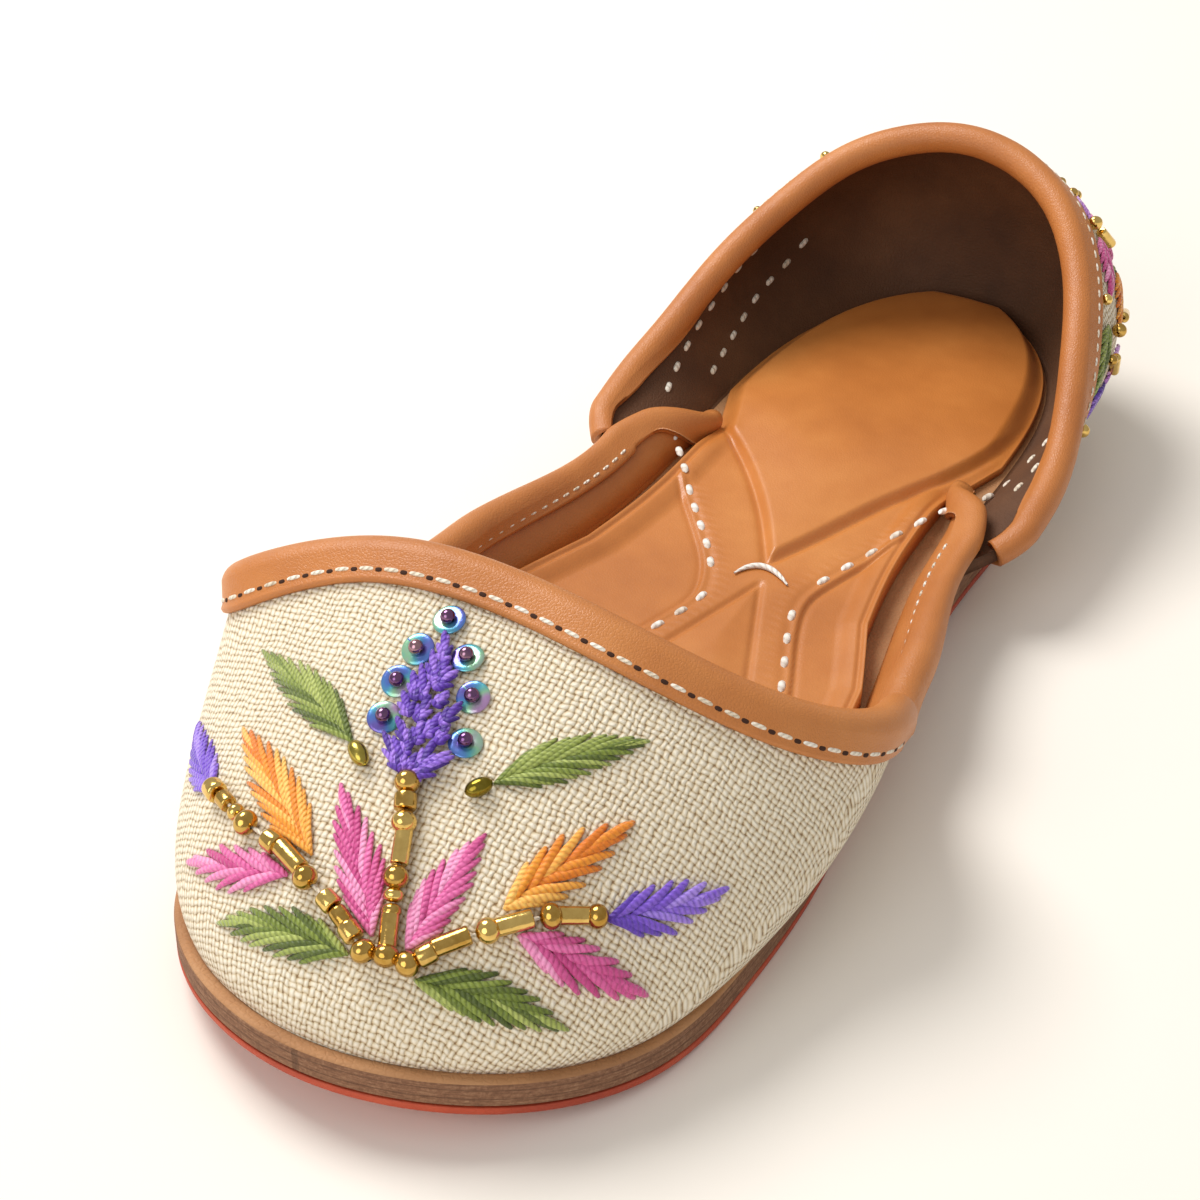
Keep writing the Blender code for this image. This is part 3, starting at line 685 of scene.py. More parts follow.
def leatherMaterial(name, dark, middle, light, roughness, grain, cell, coat=0.0):
    # Leather: a pebble grain of small cells with fine creases, and a cloudy dye; the creases are darkened
    # with painted shade
    material, tree, shader = startMaterial(name, roughness)
    place = objectPlace(tree)
    place = mixed(tree, pebble["warp"], place, noise(tree, place, pebble["warpScale"], 3.0)[1], "ADD")
    cells = put(tree, "TexVoronoi", {"feature": "DISTANCE_TO_EDGE"}, Vector=place, Scale=cell).outputs[0]
    cells = maths(tree, "SMOOTH_MIN", cells, pebble["cellEdge"], pebble["cellBlend"])
    fine = objectNoise(tree, pebble["fineScale"], 4.0)
    cloudy = objectNoise(tree, pebble["cloudScale"], 4.0, 0.6)
    colour = ramp(tree, cloudy, (0.30, dark), (0.52, middle), (0.75, light))
    # Painted shade: the grain's creases pulled towards the dark colour
    crease = maths(tree, "LESS_THAN", cells, pebble["crease"])
    colour = mixed(tree, maths(tree, "MULTIPLY", crease, pebble["creaseShade"]), colour, dark)
    tree.links.new(colour, shader.inputs["Base Color"])
    low, high = roughness - pebble["smoother"], roughness + pebble["rougher"]
    rough = put(tree, "MapRange", None, Value=fine, i3=low, i4=high).outputs[0]
    tree.links.new(rough, shader.inputs["Roughness"])
    shader.inputs["Coat Weight"].default_value = coat
    shader.inputs["Coat Roughness"].default_value = pebble["coatRoughness"]
    bumped(tree, shader, blend(tree, cells, pebble["cellHeight"], fine, pebble["fineHeight"]), grain)
    return material


cutEdge = {
    "layer": 1.6,
    "along": 0.25,
    "across": 2.2,
    "fibre": 0.55,
    "fibreScale": 1.2,
    "speck": 0.45,
    "speckScale": 1.6,
    "wobble": 0.35,
    "wobbleScale": 0.3,
    "gap": 0.13,
    "gapDark": 0.55,
    "gapDepth": 0.5,
    "relief": 0.5,
}


def boardMaterial(name, dark, middle, light):
    # The cut edge of stacked leather: fibres along the sole, with thin dark lines between layers
    material, tree, shader = startMaterial(name, 0.85)
    u, v = uvParts(tree)
    u = maths(tree, "MULTIPLY", u, cutEdge["along"])
    place = put(tree, "CombineXYZ", None, i0=u, i1=maths(tree, "MULTIPLY", v, cutEdge["across"])).outputs[0]
    fibres = noise(tree, place, cutEdge["fibreScale"], 6.0, 0.7)[0]
    speck = objectNoise(tree, cutEdge["speckScale"], 5.0, 0.75)
    wobble = noise(tree, place, cutEdge["wobbleScale"], 2.0)[0]
    row = maths(tree, "DIVIDE", v, cutEdge["layer"])
    row = maths(tree, "ADD", row, maths(tree, "MULTIPLY", wobble, cutEdge["wobble"]))
    gap = maths(tree, "LESS_THAN", maths(tree, "FRACT", row), cutEdge["gap"])
    both = blend(tree, fibres, cutEdge["fibre"], speck, cutEdge["speck"])
    colour = ramp(tree, both, (0.32, dark), (0.5, middle), (0.66, light))
    colour = mixed(tree, maths(tree, "MULTIPLY", gap, cutEdge["gapDark"]), colour, dark)
    tree.links.new(colour, shader.inputs["Base Color"])
    height = maths(tree, "SUBTRACT", both, maths(tree, "MULTIPLY", gap, cutEdge["gapDepth"]))
    bumped(tree, shader, height, cutEdge["relief"])
    return material


twine = {
    "plies": 2.0,
    "shade": 0.6,
    "fleck": 0.4,
    "fleckScale": 2.2,
    "paintedGrooveShade": 0.45,
    "sheen": 0.35,
    "sheenRoughness": 0.4,
    "relief": 0.14,
}


def threadMaterial(name, shaded, middle, lit, twist=0.9, roughness=0.5):
    # Twisted thread: ridges |sin(pi * (u / twist + plies * v))|, a tone between the shaded and the lit
    # colour that differs between strands, and painted shade in the hollows between the ridges
    material, tree, shader = startMaterial(name, roughness)
    u, v = uvParts(tree)
    turns = maths(tree, "DIVIDE", u, twist)
    turns = maths(tree, "ADD", turns, maths(tree, "MULTIPLY", v, twine["plies"]))
    ridge = maths(tree, "ABSOLUTE", maths(tree, "SINE", maths(tree, "MULTIPLY", turns, math.pi)))
    fleck = objectNoise(tree, twine["fleckScale"], 3.0)
    value = blend(tree, pieceShade(tree), twine["shade"], fleck, twine["fleck"])
    colour = ramp(tree, value, (0.2, shaded), (0.5, middle), (0.82, lit))
    # Painted shade in the hollows between the ridges
    grooveShade = maths(tree, "MULTIPLY", maths(tree, "SUBTRACT", 1.0, ridge), twine["paintedGrooveShade"])
    tree.links.new(mixed(tree, grooveShade, colour, shaded), shader.inputs["Base Color"])
    shader.inputs["Sheen Weight"].default_value = twine["sheen"]
    shader.inputs["Sheen Roughness"].default_value = twine["sheenRoughness"]
    bumped(tree, shader, ridge, twine["relief"])
    return material


# Leathers: dark, middle and light, then roughness, depth of the grain in mm, cells a millimetre, coat
tan = leatherMaterial("tan_leather", (178, 106, 50), (194, 121, 60), (207, 136, 73), 0.42, 0.05, 1.9)
sockLeather = leatherMaterial(
    "sock_leather", (182, 108, 46), (198, 122, 56), (212, 138, 70), 0.36, 0.022, 1.6, 0.15
)
# The quarter's lining: a brown leather made darker to stand in for the shade inside the heel, so partly its
# own colour and partly painted shade
liningWithPaintedShade = leatherMaterial("lining_leather_and_painted_shade", (72, 42, 20), (92, 56, 28), (112, 72, 40), 0.7, 0.08, 1.3)
wingLining = leatherMaterial("wing_lining", (176, 104, 46), (192, 118, 56), (206, 134, 70), 0.45, 0.04, 1.6)
ledgeLeather = leatherMaterial(
    "ledge_leather", (150, 104, 66), (178, 128, 84), (196, 150, 106), 0.7, 0.09, 1.0
)
redLeather = leatherMaterial("red_leather", (150, 52, 28), (186, 72, 40), (206, 96, 60), 0.6, 0.07, 1.0)
canvas = canvasMaterial()
board = boardMaterial("stacked_leather", (96, 62, 42), (140, 98, 70), (178, 136, 102))
creamThread = threadMaterial("cream_thread", (190, 170, 140), (240, 228, 206), (253, 248, 236), 1.0, 0.6)
whiteThread = threadMaterial("white_thread", (205, 185, 160), (247, 240, 228), (255, 253, 248), 1.4, 0.55)
# Dark marks at the needle holes, standing for the holes' shade: painted shade
holeShade, _, holeShader = startMaterial("needle_hole", 0.9)
holeShader.inputs["Base Color"].default_value = linear((58, 30, 14))
print("materials ready")


# Upper: a closed wall for each panel, canvas outside and leather inside
upper = {"vampWays": 321, "quarterWays": 301, "rows": 57, "clear": 0.05}
cloth = {"rows": 65, "columns": 13, "spread": 0.75, "rounds": 900, "pull": 1.4}


def makeWall(name, skin, ways, shares, outward, inward, materials, replaced=()):
    # Each surface is skin point + normal * distance, and the rim joins the two
    way, share = np.meshgrid(ways, shares, indexing="ij")
    points, _, _, normal = skinFrame(skin, way, share)
    outer, inner = points + normal * outward, points + normal * inward
    for side in (outer, inner):
        side[:, 0, 2] = np.maximum(side[:, 0, 2], midsoleTop(side[:, 0, 1]) + upper["clear"])
    everything = np.concatenate([outer.reshape(-1, 3), inner.reshape(-1, 3)])
    front, back, rim = sheetFaces(*way.shape)
    slots = np.concatenate([np.zeros(len(front)), np.ones(len(back)), np.ones(len(rim))])
    flat = flattened(points) if skin == "vamp" else unrolled(points)
    uv = np.concatenate([flat.reshape(-1, 2), flat.reshape(-1, 2)])
    obj = makeMesh(name, everything, np.concatenate([front, back, rim]), materials, uv, slots)
    if replaced:
        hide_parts(*replaced)
    return {"outer": outer, "inner": inner, "normal": normal, "uv": flat}


def quarterSpan(trim, count):
    # Ways from one front end of the quarter to the other, trimmed at both
    return np.linspace(last["quarterFront"] + trim, 2.0 - last["quarterFront"] - trim, count)


def unrolled(points):
    # A band laid flat: u is the length along its middle row, and v the height up the wall
    middle = points[:, points.shape[1] // 2]
    u = walkedAlong(middle)
    v = walkedAlong(points)
    u = np.broadcast_to(u[:, None], v.shape)
    return np.stack([u - u.mean(), v], axis=-1)


def flattened(points):
    # The vamp laid flat, as cloth is cut: springs between neighbours pull each to its real length
    rows, columns = points.shape[:2]
    sampleA = np.unique(np.linspace(0, rows - 1, cloth["rows"]).round().astype(int))
    sampleB = np.unique(np.linspace(0, columns - 1, cloth["columns"]).round().astype(int))
    grid = points[np.ix_(sampleA, sampleB)]
    top = grid[:, -1, :2]
    toFoot = unit(grid[:, 0, :2] - top * np.array([cloth["spread"], 1.0]))
    reach = walkedAlong(grid)[:, -1:] - walkedAlong(grid)
    flat = top[:, None] + toFoot[:, None] * reach[:, :, None]
    pairs = []
    for da, db in ((1, 0), (0, 1), (1, 1), (1, -1), (2, 0), (0, 2)):
        a, b = np.meshgrid(np.arange(len(sampleA)), np.arange(len(sampleB)), indexing="ij")
        keep = (a + da < len(sampleA)) & (b + db >= 0) & (b + db < len(sampleB))
        pairs.append(np.stack([a[keep], b[keep], a[keep] + da, b[keep] + db], axis=1))
    pairs = np.concatenate(pairs)
    first = pairs[:, 0] * len(sampleB) + pairs[:, 1]
    second = pairs[:, 2] * len(sampleB) + pairs[:, 3]
    solid, sheet = grid.reshape(-1, 3), flat.reshape(-1, 2)
    wanted = np.linalg.norm(solid[second] - solid[first], axis=1)
    count = np.bincount(np.concatenate([first, second]), minlength=len(sheet))[:, None]
    for _ in range(cloth["rounds"]):
        apart = sheet[second] - sheet[first]
        length = np.linalg.norm(apart, axis=1)
        pull = apart * ((length - wanted) / np.maximum(length, 1e-6) * 0.5)[:, None]
        move = np.zeros_like(sheet)
        np.add.at(move, first, pull)
        np.add.at(move, second, -pull)
        sheet = sheet + cloth["pull"] * move / count
    sheet = sheet.reshape(len(sampleA), len(sampleB), 2)
    atA, atB = np.arange(rows), np.arange(columns)
    partly = np.stack(
        [[np.interp(atA, sampleA, sheet[:, b, k]) for b in range(len(sampleB))] for k in (0, 1)]
    )
    full = np.stack([[np.interp(atB, sampleB, partly[k, :, a]) for a in range(rows)] for k in (0, 1)])
    return np.moveaxis(full, 0, -1)


vampWays = np.linspace(-last["wingEnd"], last["wingEnd"], upper["vampWays"])
quarterWays = quarterSpan(0.0, upper["quarterWays"])
shares = np.linspace(0.0, 1.0, upper["rows"])
quarterInside = last["quarterStep"] - last["quarterWall"]
vampLook, quarterLook = [canvas, wingLining], [canvas, liningWithPaintedShade]
vamp = makeWall("vamp_panel", "vamp", vampWays, shares, 0.0, -last["vampWall"], vampLook, ["upper"])
quarter = makeWall(
    "quarter_panel", "quarter", quarterWays, shares, last["quarterStep"], quarterInside, quarterLook
)
print("upper ready")


# Bindings
binding = {
    "leather": 1.0,
    "vampRoll": 1.9,
    "vampRollTop": 2.4,
    "vampFlap": 5.8,
    "wingFlap": 3.0,
    "innerFlap": 4.8,
    "quarterRoll": 1.5,
    "quarterRollTop": 2.0,
    "quarterFlap": 4.6,
    "stripGap": 0.020,
    "quarterInner": 3.4,
    "wingStart": 0.27,
    "wingFull": 0.45,
    "lappedOuter": 0.30,
    "lappedInner": 0.60,
    "frontOuter": 0.45,
    "frontInner": 0.25,
    "frontGrowth": 0.03,
    "rollPoints": 17,
    "stations": 301,
    "shoulder": 0.5,
    "neck": 2.6,
    "neckLimit": 0.8,
    "edge": 0.62,
    "outerRound": 0.35,
    "innerRound": 0.3,
}


def bindingProfile(wallOut, wallIn, roll, rollTop, outerFlap, innerFlap):
    # Rows of (depth, out) for many stations: outer flap, then over the roll, then the inner flap
    gap, leather = last["gap"], binding["leather"]
    out, inn = wallOut + gap, wallIn - gap
    middle, half = (out + inn) / 2, (out - inn) / 2 + roll
    shoulder = binding["shoulder"] * rollTop
    neckOut = np.minimum(binding["neck"] * roll, binding["neckLimit"] * outerFlap)
    neckIn = np.minimum(binding["neck"] * roll, binding["neckLimit"] * innerFlap)
    zero = 0 * roll
    over, under = out + leather + zero, inn - leather + zero
    rows = [(outerFlap, out + zero), (outerFlap, out + binding["edge"] * leather + zero)]
    rows += [(outerFlap - binding["outerRound"], over), (0.5 * (outerFlap + neckOut), over), (neckOut, over)]
    for turn in np.linspace(0.0, math.pi, binding["rollPoints"]):
        depth = shoulder - (shoulder + rollTop) * math.sin(turn)
        rows.append((depth, middle + half * math.cos(turn)))
    rows += [(neckIn, under), (0.5 * (innerFlap + neckIn), under)]
    rows += [(innerFlap - binding["innerRound"], under)]
    rows += [(innerFlap, inn - binding["edge"] * leather + zero), (innerFlap, inn + zero)]
    rows += [(0.5 * innerFlap, inn + zero), (-gap + zero, inn + zero)]
    rows += [(-gap + zero, out + zero), (0.5 * outerFlap, out + zero)]
    return np.stack([np.stack(np.broadcast_arrays(*row), axis=-1) for row in rows], axis=1)


def alongEdge(skin, ways, profile):
    # Points at (depth below the edge, distance out of the skin) for each station along an edge
    ones = np.ones(len(ways))
    point, along, up, normal = skinFrame(skin, ways, ones)
    down = unit(np.cross(unit(along), normal))
    move = np.einsum("nij,nj->ni", np.linalg.pinv(np.stack([along, up], axis=2)), down)
    depth, out = profile[..., 0], profile[..., 1]
    below = np.maximum(depth, 0.0)
    way = ways[:, None] + move[:, :1] * below
    share = np.maximum(1.0 + move[:, 1:] * below, skinStep["lowest"])
    found, _, _, turned = skinFrame(skin, way, share)
    over = point[:, None] + down[:, None] * depth[..., None] + normal[:, None] * out[..., None]
    placed = found + turned * out[..., None]
    return np.where((depth <= 0.0)[..., None], over, placed), unit(turned)


def makeBinding(name, skin, ways, profileOf, replaced):
    # The profile carried along the edge at even steps, with a face over each end
    walked = walkedAlong(skinPoints(skin, ways, np.ones(len(ways))))
    even = np.interp(np.linspace(0.0, walked[-1], len(ways)), walked, ways)
    points, _ = alongEdge(skin, even, profileOf(even))
    rows, columns = points.shape[:2]
    ends = [list(range(columns)), [(rows - 1) * columns + index for index in reversed(range(columns))]]
    faces = gridFaces(rows, columns, wrapColumns=True).tolist() + ends
    u = np.broadcast_to(walkedAlong(points[:, columns // 2])[:, None], (rows, columns))
    v = walkedAlong(points)
    obj = makeMesh(name, points, faces, [tan], np.stack([u, v], axis=-1))
    recalculate(obj)
    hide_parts(replaced)


def vampProfile(ways):
    # The strip's sizes: full at the throat, narrower along the wings and shortest under the quarter
    near = folded(ways)
    wing = smooth(binding["wingStart"], binding["wingFull"], near)
    lap = smooth(last["quarterFront"] - last["leanLead"], last["quarterFront"], near)
    outerFlap = binding["vampFlap"] + (binding["wingFlap"] - binding["vampFlap"]) * wing
    outerFlap = outerFlap - (1.0 - binding["lappedOuter"]) * binding["wingFlap"] * lap
    inside = smooth(last["quarterFront"], last["quarterFull"], near)
    innerFlap = binding["innerFlap"] * (1.0 - (1.0 - binding["lappedInner"]) * inside)
    roll = binding["vampRoll"] + (binding["leather"] - binding["vampRoll"]) * lap
    return bindingProfile(0.0, -last["vampWall"], roll, binding["vampRollTop"], outerFlap, innerFlap)


def quarterGrowth(ways, start):
    # How full the quarter's strip is: a share at the front ends, and 1 behind them
    grown = smooth(last["quarterFront"], last["quarterFull"] + binding["frontGrowth"], folded(ways))
    return start + (1.0 - start) * grown


def quarterProfile(ways):
    outerFlap = binding["quarterFlap"] * quarterGrowth(ways, binding["frontOuter"])
    innerFlap = binding["quarterInner"] * quarterGrowth(ways, binding["frontInner"])
    grown = quarterGrowth(ways, 0.0)
    roll = binding["leather"] * (1.0 - grown) + binding["quarterRoll"] * grown
    top = binding["quarterRollTop"]
    return bindingProfile(last["quarterStep"], quarterInside, roll, top, outerFlap, innerFlap)


makeBinding("vamp_trim", "vamp", vampWays, vampProfile, "vamp_binding")
stripWays = quarterSpan(binding["stripGap"], binding["stations"])
makeBinding("quarter_trim", "quarter", stripWays, quarterProfile, "quarter_binding")
print("bindings ready")


# Stitches: small rounded bars stamped along a row, sunk at both ends
stitchForm = {"sides": 8, "rings": 9, "power": 3.2, "end": 0.004, "sink": 0.175, "aim": 0.3}


def capsule():
    # A bar one long and one wide: radius = (1 - |2 x| ** power) ** 0.5 / 2, sunk by sink * (2 x) ** 4
    x = np.linspace(-0.5, 0.5, stitchForm["rings"])
    radius = 0.5 * np.sqrt(np.clip(1.0 - np.abs(2 * x) ** stitchForm["power"], stitchForm["end"], 1.0))
    ring, uv = lathe(x, radius, stitchForm["sides"])
    ring[:, :, 2] -= stitchForm["sink"] * (2 * x[:, None]) ** 4
    faces = gridFaces(stitchForm["rings"], stitchForm["sides"], wrapColumns=True)
    return ring.reshape(-1, 3), faces, uv.reshape(-1, 2)


def stitchRow(path, ups, pitch, size, lift=0.0, phase=0.5):
    # Stitches along a path of points, pitch apart. size is (length, width, height).
    walked = walkedAlong(path)
    places = np.arange(phase * pitch, walked[-1], pitch)
    origins = readAlong(places, walked, path)
    up = unit(readAlong(places, walked, ups))
    aim = stitchForm["aim"] * pitch
    along = unit(readAlong(places + aim, walked, path) - readAlong(places - aim, walked, path))
    axes = np.stack([along, unit(np.cross(up, along)), up], axis=1)
    scales = np.broadcast_to(np.array(size, float), (len(places), 3))
    points, faces, uv = capsule()
    uv = uv * np.array([size[0], 1.0])
    return stamp(points, faces, uv, origins + up * lift, axes, scales, dice.uniform(0.3, 1.0, len(places)))


def makeStitches(name, rows, material):
    points, faces, uv, shade = joined(rows)
    obj = makeMesh(name, points, faces, [material], uv, None, shade)


def edgeRow(skin, ways, depth, out):
    # A path and its normals at one depth and distance out along a skin's edge
    profile = np.empty((len(ways), 1, 2))
    profile[:, 0, 0] = depth
    profile[:, 0, 1] = out
    points, normals = alongEdge(skin, ways, profile)
    return points[:, 0], normals[:, 0]


# Stitching along both bindings. Shares are of the way, and depths run down from the edge in mm.
stitching = {
    "depth": 4.05,
    "pitch": 4.25,
    "size": (2.9, 0.72, 0.55),
    "throatEnd": 0.285,
    "wingDepth": 3.3,
    "wingPitch": 2.9,
    "wingSize": (1.9, 0.5, 0.45),
    "wingFrom": 0.30,
    "wingTo": 0.60,
    "quarterDepth": 0.72,
    "quarterTrim": 0.022,
    "lift": 0.05,
    "lowLift": 0.02,
    "holeSize": (1.5, 1.0, 0.42),
    "stations": 1600,
    "wingStations": 700,
}
leatherOut = last["gap"] + binding["leather"]
fineWays = np.linspace(-stitching["throatEnd"], stitching["throatEnd"], stitching["stations"])
path, ups = edgeRow("vamp", fineWays, stitching["depth"], leatherOut)
stitches = [stitchRow(path, ups, stitching["pitch"], stitching["size"], stitching["lift"])]
# Painted shade: flat dark marks laid at the needle holes, between the stitches
holeShadows = [stitchRow(path, ups, stitching["pitch"], stitching["holeSize"], stitching["lowLift"], 1.0)]
small = (stitching["wingPitch"], stitching["wingSize"], stitching["lowLift"])
for side in (-1.0, 1.0):
    wingWays = side * np.linspace(stitching["wingFrom"], stitching["wingTo"], stitching["wingStations"])
    path, ups = edgeRow("vamp", wingWays, stitching["wingDepth"], -last["vampWall"] - leatherOut)
    stitches.append(stitchRow(path, -ups, *small))
quarterFine = quarterSpan(stitching["quarterTrim"], stitching["stations"])
depth = binding["quarterFlap"] * quarterGrowth(quarterFine, binding["frontOuter"])
depth = stitching["quarterDepth"] * depth
path, ups = edgeRow("quarter", quarterFine, depth, last["quarterStep"] + leatherOut)
stitches.append(stitchRow(path, ups, *small))
makeStitches("binding_stitches", stitches, creamThread)
makeStitches("needle_hole_shadows", holeShadows, holeShade)
print("stitches ready")


# Embroidery lies on a patch: a wall laid flat in mm, with each point's place and tilt on the shoe
def makePatch(wall, every=2):
    # A point's slope is its change of place for a change of u or v: step * inverse of spread
    rows = np.arange(0, wall["uv"].shape[0], every)
    columns = np.arange(0, wall["uv"].shape[1], every)
    point = wall["outer"][np.ix_(rows, columns)]
    flat = wall["uv"][np.ix_(rows, columns)]
    normal = wall["normal"][np.ix_(rows, columns)]
    step = np.stack([np.gradient(point, axis=0), np.gradient(point, axis=1)], axis=-1)
    spread = np.stack([np.gradient(flat, axis=0), np.gradient(flat, axis=1)], axis=-1)
    slope = step @ np.linalg.inv(spread)
    return {
        "point": point.reshape(-1, 3),
        "uv": flat.reshape(-1, 2),
        "normal": normal.reshape(-1, 3),
        "slope": slope.reshape(-1, 3, 2),
    }


def onPatch(patch, flat, height):
    # Points over a patch: the nearest point, then along its two slopes, then up its normal
    shape = flat.shape[:-1]
    wanted = flat.reshape(-1, 2)
    length = (patch["uv"] ** 2).sum(axis=1)
    nearest = np.empty(len(wanted), int)
    batch = 4000
    for start in range(0, len(wanted), batch):
        part = wanted[start : start + batch]
        nearest[start : start + batch] = (length - 2.0 * part @ patch["uv"].T).argmin(axis=1)
    away = wanted - patch["uv"][nearest]
    found = patch["point"][nearest] + np.einsum("nij,nj->ni", patch["slope"][nearest], away)
    normal = patch["normal"][nearest]
    found = found + normal * np.broadcast_to(height, shape).reshape(-1, 1)
    return found.reshape(shape + (3,)), normal.reshape(shape + (3,))


def patchAt(patch, pixels):
    # Where pixels of the photo fall on a patch, of its points that face the camera
    facing = ((eye - patch["point"]) * patch["normal"]).sum(axis=1) > 0.0
    seen = np.where(facing[:, None], toPixels(patch["point"]), -9999.0)
    pixels = np.asarray(pixels, float).reshape(-1, 2)
    nearest = ((seen[None] - pixels[:, None]) ** 2).sum(axis=-1).argmin(axis=1)
    base, slope = patch["point"][nearest], patch["slope"][nearest]
    here = toPixels(base)
    turn = np.stack([toPixels(base + slope[:, :, axis]) - here for axis in (0, 1)], axis=-1)
    away = np.einsum("nij,nj->ni", np.linalg.inv(turn), pixels - here)
    reach = np.linalg.norm(away, axis=1, keepdims=True)
    return patch["uv"][nearest] + away * np.minimum(1.0, 4.0 / np.maximum(reach, 1e-6))


def mirrored(flat):
    # The same places on the other side of the middle line
    return flat * np.array([-1.0, 1.0])


strand = {"steps": 15, "sides": 12, "plies": 4, "plyDepth": 0.10, "twist": 5.5, "flat": 0.72}
leafForm = {
    "first": 0.30,
    "last": 0.97,
    "reach": 0.42,
    "round": 0.85,
    "full": 0.8,
    "curve": 1.25,
    "tuck": 0.4,
    "cross": 0.10,
    "startVary": 0.012,
    "reachVary": 0.08,
    "thickVary": 0.07,
    "rise": 1.15,
    "sink": 0.25,
    "taper": 0.33,
}


def leafStrands(patch, base, tip, width, count, radius, bow=0.0, reach=leafForm["reach"], lift=0.0):
    # Strands of a fishbone leaf, each from the leaf's outline back down to its middle line.
    # The outline is width / 2 * sin(pi * s ** round) ** full from the middle, s going from base to tip.
    axis = tip - base
    length = np.linalg.norm(axis)
    ahead = axis / length
    side = np.array([-ahead[1], ahead[0]])
    vary, reachVary, thickVary = leafForm["startVary"], leafForm["reachVary"], leafForm["thickVary"]
    starts = np.linspace(leafForm["first"], leafForm["last"], count)
    between = (leafForm["last"] - leafForm["first"]) / count
    starts = np.concatenate([starts, starts - 0.5 * between, [1.0]])
    sides = np.concatenate([np.ones(count), -np.ones(count), [0.0]])
    starts = starts + dice.uniform(-vary, vary, len(starts))
    full = np.sin(math.pi * np.clip(starts, 0.0, 1.0) ** leafForm["round"]) ** leafForm["full"]
    outline = np.maximum(0.5 * width * full - leafForm["tuck"] * radius, 0.0)
    outline = outline * dice.uniform(0.92, 1.06, len(starts))
    ends = np.maximum(starts - reach * dice.uniform(1.0 - reachVary, 1.0 + reachVary, len(starts)), 0.0)
    t = np.linspace(0.0, 1.0, strand["steps"])[None]
    s = starts[:, None] + (ends - starts)[:, None] * t
    across = outline[:, None] * (1.0 - t) ** leafForm["curve"] - leafForm["cross"] * radius * t
    across = sides[:, None] * across
    middle = bow * np.sin(math.pi * np.clip(s, 0.0, 1.0))
    flat = base + ahead * (s * length)[:, :, None] + side * (across + middle)[:, :, None]
    arch = np.sin(math.pi * np.clip(t * 0.94 + 0.03, 0.0, 1.0)) ** 0.5
    order = (1.0 - ends)[:, None] * 0.5 * radius * t
    height = lift + radius * (leafForm["rise"] * arch - leafForm["sink"]) + order
    points, normals = onPatch(patch, flat, height)
    taper = np.clip(np.sin(math.pi * np.clip(t, 0.02, 0.98)) ** leafForm["taper"], 0.3, 1.0)
    radii = radius * taper * dice.uniform(1.0 - thickVary, 1.0 + thickVary, len(starts))[:, None]
    return points, normals, radii, dice.uniform(0.0, 1.0, len(starts))


def plyTubes(paths, ups, radii, shades):
    # Thread of several plies: a ring's radius is r * (1 + depth * cos(plies * a - 2 * pi * length / twist))
    turn = np.linspace(0.0, 2 * math.pi, strand["sides"], endpoint=False)
    phase = strand["plies"] * turn - 2 * math.pi * walkedAlong(paths)[:, :, None] / strand["twist"]
    lobes = 1.0 + strand["plyDepth"] * np.cos(phase)
    return tubes(paths, ups, radii[:, :, None] * lobes, strand["sides"], strand["flat"], shades)


def tubeCaps(count, steps, sides):
    # A fan of triangles over both ends of each tube
    first = np.arange(count)[:, None] * steps * sides
    fans = []
    for start, turn in ((first, 1), (first + (steps - 1) * sides, -1)):
        ring = start + np.arange(sides)[::turn]
        fan = np.broadcast_arrays(ring[:, :1], ring[:, 1:-1], ring[:, 2:])
        fans.append(np.stack(fan, axis=-1).reshape(-1, 3))
    return np.concatenate(fans)


def makeThreads(name, sets, material):
    # All leaves of one colour as one piece
    paths, ups, radii, shades = (np.concatenate(column) for column in zip(*sets))
    points, faces, uv, shade = plyTubes(paths, ups, radii, shades)
    caps = tubeCaps(*paths.shape[:2], strand["sides"])
    makeSet(name, (points, faces.tolist() + caps.tolist(), uv, shade), material)


# Shaded, middle and lit colour of each thread
threadColours = {
    "green": ((70, 86, 20), (126, 144, 50), (182, 194, 104)),
    "pink": ((196, 62, 130), (236, 112, 176), (252, 174, 214)),
    "orange": ((226, 120, 18), (250, 166, 48), (255, 208, 110)),
    "violet": ((86, 48, 170), (134, 92, 218), (184, 152, 246)),
    "purple": ((62, 28, 130), (110, 62, 194), (172, 128, 236)),
    "lilac": ((176, 112, 204), (216, 156, 232), (242, 204, 248)),
}
threads = {name: threadMaterial(name + "_thread", *colours) for name, colours in threadColours.items()}

# Leaves of the vamp. baseX to tipY: where the photo shows a leaf's two ends. Lengths in mm.
Leaf = namedtuple("Leaf", "colour baseX baseY tipX tipY width count radius bow")
vampLeaves = [
    Leaf("green", 354, 744, 263, 651, 6.6, 10, 0.47, -0.6),
    Leaf("green", 494, 785, 651, 741, 6.6, 10, 0.50, 0.5),
    Leaf("violet", 218, 795, 200, 721, 6.6, 8, 0.50, 0.6),
    Leaf("orange", 313, 856, 243, 727, 7.4, 9, 0.56, -0.4),
    Leaf("pink", 289, 876, 188, 862, 7.0, 6, 0.62, 0.5),
    Leaf("pink", 373, 937, 341, 785, 7.2, 8, 0.58, -0.3),
    Leaf("pink", 407, 951, 486, 834, 6.8, 8, 0.58, 0.3),
    Leaf("orange", 504, 910, 634, 822, 7.8, 6, 0.72, 0.2),
    Leaf("violet", 606, 920, 728, 888, 7.2, 6, 0.66, -0.5),
    Leaf("pink", 518, 936, 648, 996, 7.2, 6, 0.70, -0.4),
    Leaf("green", 415, 980, 568, 1030, 7.0, 8, 0.58, 0.4),
    Leaf("green", 349, 955, 218, 923, 7.2, 8, 0.56, -0.5),
]
